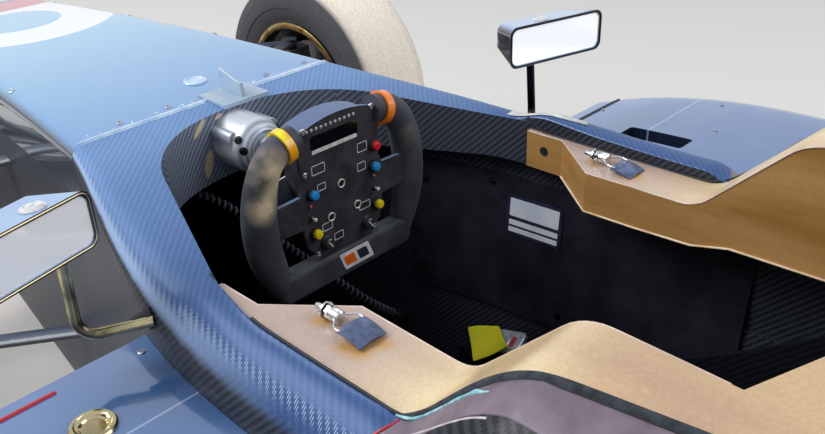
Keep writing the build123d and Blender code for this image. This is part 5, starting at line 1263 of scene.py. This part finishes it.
# where hands have rubbed and painted sunlight falls, how far and how much
wear_and_sunlight_places = [((0.232, 0.100, 0.612), 0.034, 1.0), ((0.229, 0.118, 0.578), 0.024, 1.0),
               ((0.230, -0.112, 0.590), 0.020, 0.25)]
for patch_place, size, strength in wear_and_sunlight_places:
    reach = add_node(tree, "VectorMath", {0: (place, "Object"), 1: patch_place}, operation="DISTANCE")
    near = add_node(tree, "MapRange", {0: (reach, "Value"), "From Min": size, "From Max": 0.3 * size,
                                       "To Max": strength})
    nap_wear_and_sunlight = mix_colours(tree, all_of(tree, near, nap_share), nap_wear_and_sunlight, "#dccba8")
colour_with(shader, nap_wear_and_sunlight)
grain(shader, place, 0.8, 0.1)
skin("steering_grips", "suede_grips", suede, 50)
stitch_thread = plain_finish("waxed_black_thread", "#3a3c44", 0.5, grit=(0.5, 0.05))
grip_inner = [(0.0955, 0.034), (0.0945, 0.012), (0.0948, -0.020), (0.0935, -0.054), (0.0885, -0.084)]
stitch_x, stitch_count, stitch_slant = 0.243, 26, 20
stitches = bmesh.new()
for side, _ in sides:
    path = open_curve("stitch_line", [(stitch_x, side * out, column_high + height)
                                      for out, height in grip_inner])
    line = line_points(path)
    bpy.data.objects.remove(path)
    for index in range(stitch_count):
        share = (index + 0.5) / stitch_count * (len(line) - 2)
        first, second = line[int(share)], line[int(share) + 1]
        spot = first.lerp(second, share - int(share))
        seat, looks = surface_at("steering_grips", spot - Vector((0, side * 0.04, 0)), spot)
        slanted = standing(seat, looks) @ Matrix.Rotation(radians(stitch_slant * side), 4, "Z")
        put(stitches, rounded_plate(0.0042, 0.0011, 0.0010, 0.0005), slanted)
add_piece(stitches, "grip_stitching", stitch_thread, "steering_wheel")

# Sticker on the bottom bar: a slanted white vinyl patch with an orange block and a dark one, cut from
# printed film and pressed on the suede. What the real one says is left off.
white_vinyl = plain_finish("white_vinyl_film", "#e6e8ee", 0.35, tones=("#d3d7e2", "#f0f1f4", 12))
orange_vinyl = plain_finish("orange_vinyl_film", "#ee6a1e", 0.35, tones=("#e25c14", "#f77c2c", 10))
dark_vinyl = plain_finish("dark_vinyl_film", "#2a2c3a", 0.35, tones=("#232533", "#343748", 10))
sticker_right, sticker_high = 0.0093, -0.1123
sticker_slant = Matrix.Identity(4)
sticker_slant[0][1] = -0.38
# material, place along the bar, width, height, how far out
for name, finish, along, wide, high, out in (
        ("bar_sticker_ground", white_vinyl, 0.0, 0.048, 0.0240, 0.0052),
        ("bar_sticker_orange", orange_vinyl, -0.0115, 0.0175, 0.0140, 0.0055),
        ("bar_sticker_dark", dark_vinyl, 0.0100, 0.0160, 0.0140, 0.0055)):
    spot = on_face(sticker_right, sticker_high, out) @ sticker_slant @ Matrix.Translation((along, 0, 0))
    face_piece(name, [(rounded_plate(wide, high, 0.0004, 0.0020), spot)], finish)

# Thumb rings: bright moulded bands at the tops of the grips, yellow where light comes through them
# and orange elsewhere. Behind the face: the quick-release hub, the column and two bright paddles.
ring_plastic, tree, shader, place = new_surface("bright_orange_moulding", "#f07010", 0.28, Coat_Weight=0.6,
                                                Subsurface_Weight=0.1)
split = add_node(tree, "SeparateXYZ", {0: (place, "Object")})
to_left = add_node(tree, "MapRange", {0: (split, 1), "From Min": -0.02, "From Max": 0.085})
glow = add_node(tree, "TexNoise", {"Vector": (place, "Object"), "Scale": 1000 / 22, "Detail": 1.0})
warm = add_node(tree, "MapRange", {0: glow, "From Min": 0.35, "From Max": 0.6})
left_tone = mix_colours(tree, warm, "#ffb212", "#ffee1c")
ring_tone = mix_colours(tree, to_left, "#ff8420", left_tone)
colour_with(shader, ring_tone)
skin("thumb_rings", "orange_thumb_rings", ring_plastic, 40)
hub_alloy = plain_finish("blue_grey_anodised_alloy", "#9ba4b8", 0.24, 0.55,
                         tones=("#8791a8", "#cdd4e0", 30))
skin("steering_hub", "hub_and_paddles", hub_alloy)

# Mirrors: a hollow shell in dark gloss, its top painted blue as a painted sky reflection, with a thin
# polished edge and the pane inside it. A white-faced screw and its cup washer hold each to a bent tube
# that ends in a black socket.
shell_paint, tree, shader, place = new_surface("gloss_black_blue_shell", "#12151d", 0.12, Coat_Weight=1.0,
                                               Coat_Roughness=0.03)
facing = add_node(tree, "SeparateXYZ", {0: (place, "Normal")})
painted_cloud_share = add_node(tree, "TexNoise", {"Vector": (place, "Object"), "Scale": 1000 / 90, "Detail": 3.0})
# painted sky reflection on the shell's top
painted_lit_top_tone = mix_colours(tree, painted_cloud_share, "#6f95cc", "#93b6df")
colour_with(shader, mix_colours(tree, upward_share(tree, facing, 0.5, 0.9), "#12151d", painted_lit_top_tone))
mirror_glass, tree, shader, place = new_surface("silvered_glass", "#ffffff", 0.05, 0.1)
haze = add_node(tree, "TexNoise", {"Vector": (place, "Object"), "Scale": 1000 / 70, "Detail": 4.0})
colour_with(shader, mix_colours(tree, haze, "#f4f6f6", "#ffffff"))
# the panes glow a little as a painted reflection of the sky, most on the right one, which faces the open sky
# behind the car
shader.inputs["Emission Color"].default_value = linear("#ffffff")
split = add_node(tree, "SeparateXYZ", {0: (place, "Object")})
painted_sky_glow = add_node(tree, "MapRange", {0: (split, 1), "From Min": 0.1, "From Max": -0.1, "To Min": 0.06,
                                        "To Max": 0.42})
tree.links.new(painted_sky_glow.outputs[0], shader.inputs["Emission Strength"])
skin("mirror_housings", "mirror_shells", shell_paint)
skin("mirror_glasses", "mirror_panes", mirror_glass)
tube_steel, tree, shader, place = new_surface("polished_tube_steel", "#8f876e", 0.16, 0.9)
tube_tones = mottle(shader, place, "#5f5a48", "#c9bd93", 30)
split = add_node(tree, "SeparateXYZ", {0: (place, "Object")})
on_left = add_node(tree, "Math", {0: (split, 1), 1: 0.0}, operation="GREATER_THAN")
colour_with(shader, mix_colours(tree, on_left, "#17181c", tube_tones))
skin("mirror_stalks", "mirror_tubes", tube_steel)
mirror_middle = Vector((0.205, 0.383, 0.649))
mirror_turn = radians(14.8)
mirror_size = (0.154, 0.050)
mirror_corner, rim_beyond_pane, screw_ahead = 0.011, 0.002, 0.016
# how far each screw sits from its mirror's middle towards the car
screw_inwards = {1: 0.033, -1: 0.016}
cup_washer = [(0.0125, 0), (0.0125, 0.0010), (0.0110, 0.0026), (0.0080, 0.0034), (0.0070, 0.0026),
              (0.0030, 0.0024), (0.0024, 0.0012), (0, 0.0010)]
foot_profile = [(0.0110, -0.001), (0.0110, 0.0030), (0.0085, 0.0050), (0.0075, 0.0150), (0.0060, 0.0170),
                (0.0058, 0.0165)]
for side, name in sides:
    middle = Vector((mirror_middle.x, side * mirror_middle.y, mirror_middle.z))
    normal = Vector((cos(mirror_turn), side * sin(mirror_turn), 0))
    along = Vector((-side * sin(mirror_turn), cos(mirror_turn), 0))
    half_wide, half_high = (length / 2 + rim_beyond_pane for length in mirror_size)
    edge = [middle + along * across + Vector((0, 0, up))
            for across, up in rounded_outline(half_wide, half_high, mirror_corner)]
    edge_finish = polished if side > 0 else black_oxide
    round_bead(f"mirror_edge_{name}", edge, 0.0011, edge_finish, "chassis", kind="POLY")
    over_screw = middle + normal * screw_ahead - along * side * screw_inwards[side]
    top_spot = surface_at("mirror_housings", over_screw + Vector((0, 0, 0.1)), over_screw)
    add_piece(turned(cup_washer, 36), f"mirror_cup_washer_{name}", white_print, "chassis",
              matrix=standing(*top_spot))
    foot_spot, _ = surface_at("monocoque", (0.196, side * 0.34, 0.5452), (0.178, side * 0.20, 0.5455))
    add_piece(turned(foot_profile), f"stalk_socket_{name}", black_rubber, "chassis",
              matrix=standing(foot_spot, (0.28, side * 0.96, -0.05)))

# Tyres and rims: slick tyres whose crown has picked up sand, painted near white as it lies in the sun,
# with a moulded line at each shoulder, on dark enamelled rims with machined gold-toned flange edges.
# One central nut holds each wheel.
def both_sides(profile, out, wheel_place):
    """A ring turned from a profile on the outer side of a wheel, and its mirror on the inner side."""
    whole = bmesh.new()
    for outer in (1, -1):
        ring = turned(profile, 96)
        if outer < 0:
            bmesh.ops.scale(ring, vec=(1, 1, -1), verts=ring.verts)
            bmesh.ops.recalc_face_normals(ring, faces=ring.faces)
        put(whole, ring, wheel_place @ Matrix.Translation((0, 0, outer * out)))
    return whole


rim_enamel = plain_finish("satin_dark_enamel", "#1d1d21", 0.35, 0.2, tones=("#17171a", "#2a2a2f", 30),
                          grit=(1.0, 0.03), Coat_Weight=0.3)
gold_edge = plain_finish("machined_gold_anodised", "#a98f55", 0.3, 1.0, tones=("#86703d", "#c8b077", 20))
nut_alloy = plain_finish("blue_anodised_nut", "#37557f", 0.3, 0.9, grit=(0.8, 0.03))
brass = plain_finish("turned_brass", "#b5995a", 0.3, 1.0, grit=(0.8, 0.02))
# axle's x, wheel's y, tyre's radius and width, half the width between the beads, radii of the tyre's
# moulded lines, and how far the hub's end lies inside the rim's edge
wheel_ends = {
    "front": (1.150, 0.750, 0.270, 0.190, 0.082, (0.212, 0.236), 0.032),
    "rear": (-1.600, 0.728, 0.288, 0.250, 0.112, (0.214, 0.246), 0.030),
}
corners = [(f"{end}_{name}", side, *sizes) for end, sizes in wheel_ends.items() for side, name in sides]
flange_profile = [(0.1735, 0), (0.1740, 0.0012), (0.1725, 0.0022), (0.1640, 0.0022), (0.1600, 0.0014),
                  (0.1600, 0)]
nut_profile = [(0.0300, 0), (0.0300, 0.0110), (0.0270, 0.0130), (0.0180, 0.0130), (0.0165, 0.0060),
               (0, 0.0055)]
valve_profile = [(0.0030, 0), (0.0030, 0.018), (0.0038, 0.019), (0.0038, 0.026), (0.0022, 0.028),
                 (0, 0.028)]
flange_bolts, bolt_circle = 20, 0.1668
flange_out, bolts_out = 0.007, 0.0088
bead_radius, shoulder_depth = 0.176, 0.018
valve_radius, valve_depth = 0.148, 0.026
for corner_name, side, axle_x, wheel_y, tyre_radius, tyre_width, bead_half, line_radii, hub_depth in corners:
    rubber, tree, shader, place = new_surface(f"slick_rubber_{corner_name}", "#26262a", 0.75)
    split = add_node(tree, "SeparateXYZ", {0: (place, "Object")})
    flat = add_node(tree, "CombineXYZ", {0: split, 2: (split, 2)})
    reach = add_node(tree, "VectorMath", {0: flat, 1: (axle_x, 0, tyre_radius)}, operation="DISTANCE")
    crown = add_node(tree, "MapRange", {0: (reach, "Value"), "From Min": tyre_radius - 0.012,
                                        "From Max": tyre_radius - 0.002})
    dust = add_node(tree, "TexNoise", {"Vector": (place, "Object"), "Scale": 1000 / 5, "Detail": 8.0,
                                       "Roughness": 0.75})
    dust_share = add_node(tree, "MapRange", {0: dust, "From Min": 0.38, "From Max": 0.62})
    # the crown's sand is painted near white: partly its own colour, partly painted sunlight
    sand_and_sunlight_tread_tone = mix_colours(tree, dust_share, "#e0d4c2", "#fff6e6")
    wall_tone = mix_colours(tree, dust_share, "#434348", "#56565b")
    colour_with(shader, mix_colours(tree, crown, wall_tone, sand_and_sunlight_tread_tone))
    grain(shader, place, 1.6, 0.25)
    skin(f"tyre_{corner_name}", f"slick_{corner_name}", rubber)
    skin(f"rim_{corner_name}", f"spoked_rim_{corner_name}", rim_enamel)
    body = frame["nodes"][f"rim_{corner_name}"]["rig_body"]
    wheel_place = (Matrix.Translation((axle_x, side * wheel_y, tyre_radius))
                   @ Matrix.Rotation(-side * pi / 2, 4, "X"))
    edges = both_sides(flange_profile, bead_half + flange_out, wheel_place)
    for index in range(flange_bolts):
        turn = Matrix.Rotation(2 * pi * index / flange_bolts, 4, "Z")
        put(edges, socket_screw(0.0035),
            wheel_place @ turn @ Matrix.Translation((bolt_circle, 0, bead_half + bolts_out)))
    add_piece(edges, f"rim_edges_{corner_name}", gold_edge, body)
    for line_radius in line_radii:
        # a line stands on the sidewall's bulge, which is widest between the bead and the shoulder
        share = (line_radius - bead_radius) / (tyre_radius - shoulder_depth - bead_radius)
        bulge = (tyre_width / 2 - bead_half) * sin(pi * min(1, 0.18 + 0.62 * share))
        line = [(line_radius - 0.0016, -0.004), (line_radius - 0.0010, 0.0006),
                (line_radius + 0.0010, 0.0006), (line_radius + 0.0016, -0.004)]
        add_piece(both_sides(line, bead_half + bulge + 0.0004, wheel_place),
                  f"tyre_line_{corner_name}_{round(1000 * line_radius)}", rubber, body)
    hub_body = frame["nodes"][f"hub_{corner_name}"]["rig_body"]
    nut_out = bead_half - hub_depth + 0.006 - 0.0005
    add_piece(turned(nut_profile, 12), f"wheel_nut_{corner_name}", nut_alloy, hub_body,
              matrix=wheel_place @ Matrix.Translation((0, 0, nut_out)))
    add_piece(turned(valve_profile, 16), f"tyre_valve_{corner_name}", brass, body,
              matrix=wheel_place @ Matrix.Translation((valve_radius, 0, bead_half - valve_depth)))

# Hubs and brake discs: turned and ground steel, clouded by heat where the pads run. The rear ones carry
# the driveshafts.
disc_steel = plain_finish("ground_disc_steel", "#8d8f94", 0.3, 1.0, tones=("#7a7d86", "#a2a4a8", 45),
                          grit=(0.7, 0.05))
for corner_name, *_ in corners:
    skin(f"hub_{corner_name}", f"hub_piece_{corner_name}", disc_steel)

# Uprights, gearbox and engine: alloy castings, machined where pieces meet, with bolts round their
# joint faces.
cast = plain_finish("sand_cast_aluminium", "#83858a", 0.55, 0.8, grit=(1.6, 0.12))
machined = plain_finish("machined_aluminium", "#9a9b9f", 0.36, 0.9, tones=("#86888d", "#a9aaae", 25),
                        grit=(0.5, 0.03))
for node, name, finish in (
        ("rack_housing", "rack_tube", machined), ("rear_uprights", "uprights_rear", machined),
        ("upright_front_left", "knuckle_piece_left", machined),
        ("upright_front_right", "knuckle_piece_right", machined), ("engine_block", "engine_case", cast),
        ("gearbox", "gearbox_case", cast)):
    skin(node, name, finish)
joint_x = -0.998
joint_bolts = [surface_at("gearbox", (joint_x, y, 0.6), (joint_x, y, 0.1))
               for y in (-0.09, -0.045, 0.0, 0.045, 0.09)]
joint_bolts += side_spots("gearbox", [(joint_x, z) for z in (0.16, 0.22, 0.28, 0.34)], 0.4)
joint_bolts += side_spots("engine_block", [(x, z) for x in (-0.55, -0.75, -0.93) for z in (0.12, 0.36)],
                          0.4)
screws("casing_bolts", joint_bolts, 0.006, zinc_steel, "chassis", 1.4)

# Suspension and steering rack: streamlined steel legs in black powder coat, and a ground steel rod that
# slides in ribbed rubber gaiters. The exhaust is bent steel tube, tinted by heat, with a bright band
# pressed on its end.
black_steel, tree, shader, place = new_surface("black_powder_coat", "#17181c", 0.36, Coat_Weight=0.3)
facing = add_node(tree, "SeparateXYZ", {0: (place, "Normal")})
# painted sky reflection: the legs' upper faces are painted blue grey
colour_with(shader, mix_colours(tree, upward_share(tree, facing, 0.55, 0.98), "#14151a", "#39465c"))
grain(shader, place, 0.8, 0.04)
bright_steel = plain_finish("ground_steel", "#9c9da0", 0.28, 1.0, grit=(0.6, 0.02))
exhaust_steel = plain_finish("heat_tinted_steel", "#8a6f57", 0.3, 1.0, tones=("#5d5573", "#a88452", 70),
                             grit=(1.0, 0.03))
for node, name, finish in (("rack_bar", "rack_rod", bright_steel),
                           ("exhaust", "exhaust_pipe", exhaust_steel),
                           ("front_wishbones", "wishbones_front", black_steel),
                           ("rear_wishbones", "wishbones_rear", black_steel)):
    skin(node, name, finish)
bellows_rubber = plain_finish("ribbed_rubber_gaiter", "#131417", 0.6, grit=(0.9, 0.06))
rack_x, rack_end_y, rack_z = 1.255, 0.1242, 0.300
gaiter_ribs, rib_pitch = 13, 0.0045
gaiter_profile = [(0.0100, 0), (0.0190, 0.003)]
gaiter_profile += [(0.0185 if rib % 2 else 0.0135, 0.006 + rib_pitch * rib) for rib in range(gaiter_ribs)]
gaiter_profile += [(0.0100, 0.066)]
for side, name in sides:
    rack_end = (Matrix.Translation((rack_x, side * rack_end_y, rack_z))
                @ Matrix.Rotation(-side * pi / 2, 4, "X"))
    add_piece(turned(gaiter_profile), f"rack_gaiter_{name}", bellows_rubber, "chassis", matrix=rack_end)
tip_end, tip_from = Vector((-1.390, -0.172, 0.380)), Vector((-1.160, -0.164, 0.330))
tip_run = (tip_end - tip_from).normalized()
tip_band = turned([(0.0342, 0), (0.0362, 0.001), (0.0362, 0.010), (0.0342, 0.011)], 48)
add_piece(tip_band, "exhaust_tip_band", bright_steel, "chassis",
          matrix=standing(tip_end - 0.012 * tip_run, tip_run))

# Wings, floor and diffuser: carbon twill in clear lacquer, with rows of screws at the end plates, on
# the rear wing's stays and along the floor.
wing_carbon = carbon_twill("dark_carbon_twill", "#171a20", "#262b34", 0.25, 0.3)
for node, name in (("front_wing", "carbon_front_wing"), ("floor", "carbon_floor"),
                   ("diffuser", "carbon_diffuser"), ("rear_wing", "carbon_rear_wing"),
                   ("rear_wing_pylon", "carbon_wing_pylon"), ("crash_structure", "carbon_crash_box")):
    skin(node, name, wing_carbon)
front_plate = [(2.06, 0.094), (1.98, 0.096), (1.90, 0.100), (1.84, 0.128), (1.80, 0.140), (1.76, 0.176),
               (1.73, 0.198)]
rear_plate = [(-1.93, 0.800), (-1.99, 0.812), (-2.05, 0.835), (-2.09, 0.868), (-2.12, 0.890)]
plate_screws = side_spots("front_wing", front_plate, 0.9) + side_spots("rear_wing", rear_plate, 0.6)
screws("end_plate_screws", plate_screws, 0.0045, zinc_steel, "chassis", 1.6)
stay = [(-1.915, 0.330), (-1.985, 0.330), (-1.985, 0.390), (-1.955, 0.760), (-2.010, 0.780)]
screws("wing_stay_screws", side_spots("rear_wing_pylon", stay, 0.2), 0.005, black_oxide, "chassis", 1.5)
floor_row = [(0.02, 0.66)] + [(x, 0.676) for x in (-0.20, -0.45, -0.70, -0.95)]
floor_plan = [(x, side * y) for side, _ in sides for x, y in floor_row]
screws("floor_screws", top_spots("floor", floor_plan, 0.3), 0.0045, zinc_steel, "chassis", 1.6)

# Rain light: a moulded red lens, ribbed so that it scatters the light, over rows of small lamps in
# the same red.
red_lens, tree, shader, place = new_surface("moulded_red_lens", "#a01018", 0.15, Coat_Weight=1.0)
ridges = add_node(tree, "TexWave", {"Vector": (place, "Object"), "Scale": 50.0}, bands_direction="Z")
colour_with(shader, mix_colours(tree, ridges, "#8c0d15", "#c31f28"))
relief(shader, ridges, 0.4)
skin("rain_light", "red_rain_light", red_lens)
lamp_profile = [(0.0045, 0), (0.0040, 0.0012), (0.0020, 0.0020), (0, 0.0022)]
lens_x, first_column_y, column_pitch, first_row_z, row_pitch = -2.0985, -0.0225, 0.015, 0.243, 0.0135
lamp_dots = bmesh.new()
for row in range(5):
    for column in range(4):
        spot = Vector((lens_x, first_column_y + column_pitch * column, first_row_z + row_pitch * row))
        put(lamp_dots, turned(lamp_profile, 16), standing(spot, (-1, 0, 0)))
add_piece(lamp_dots, "rain_light_lamps", red_lens, "chassis")
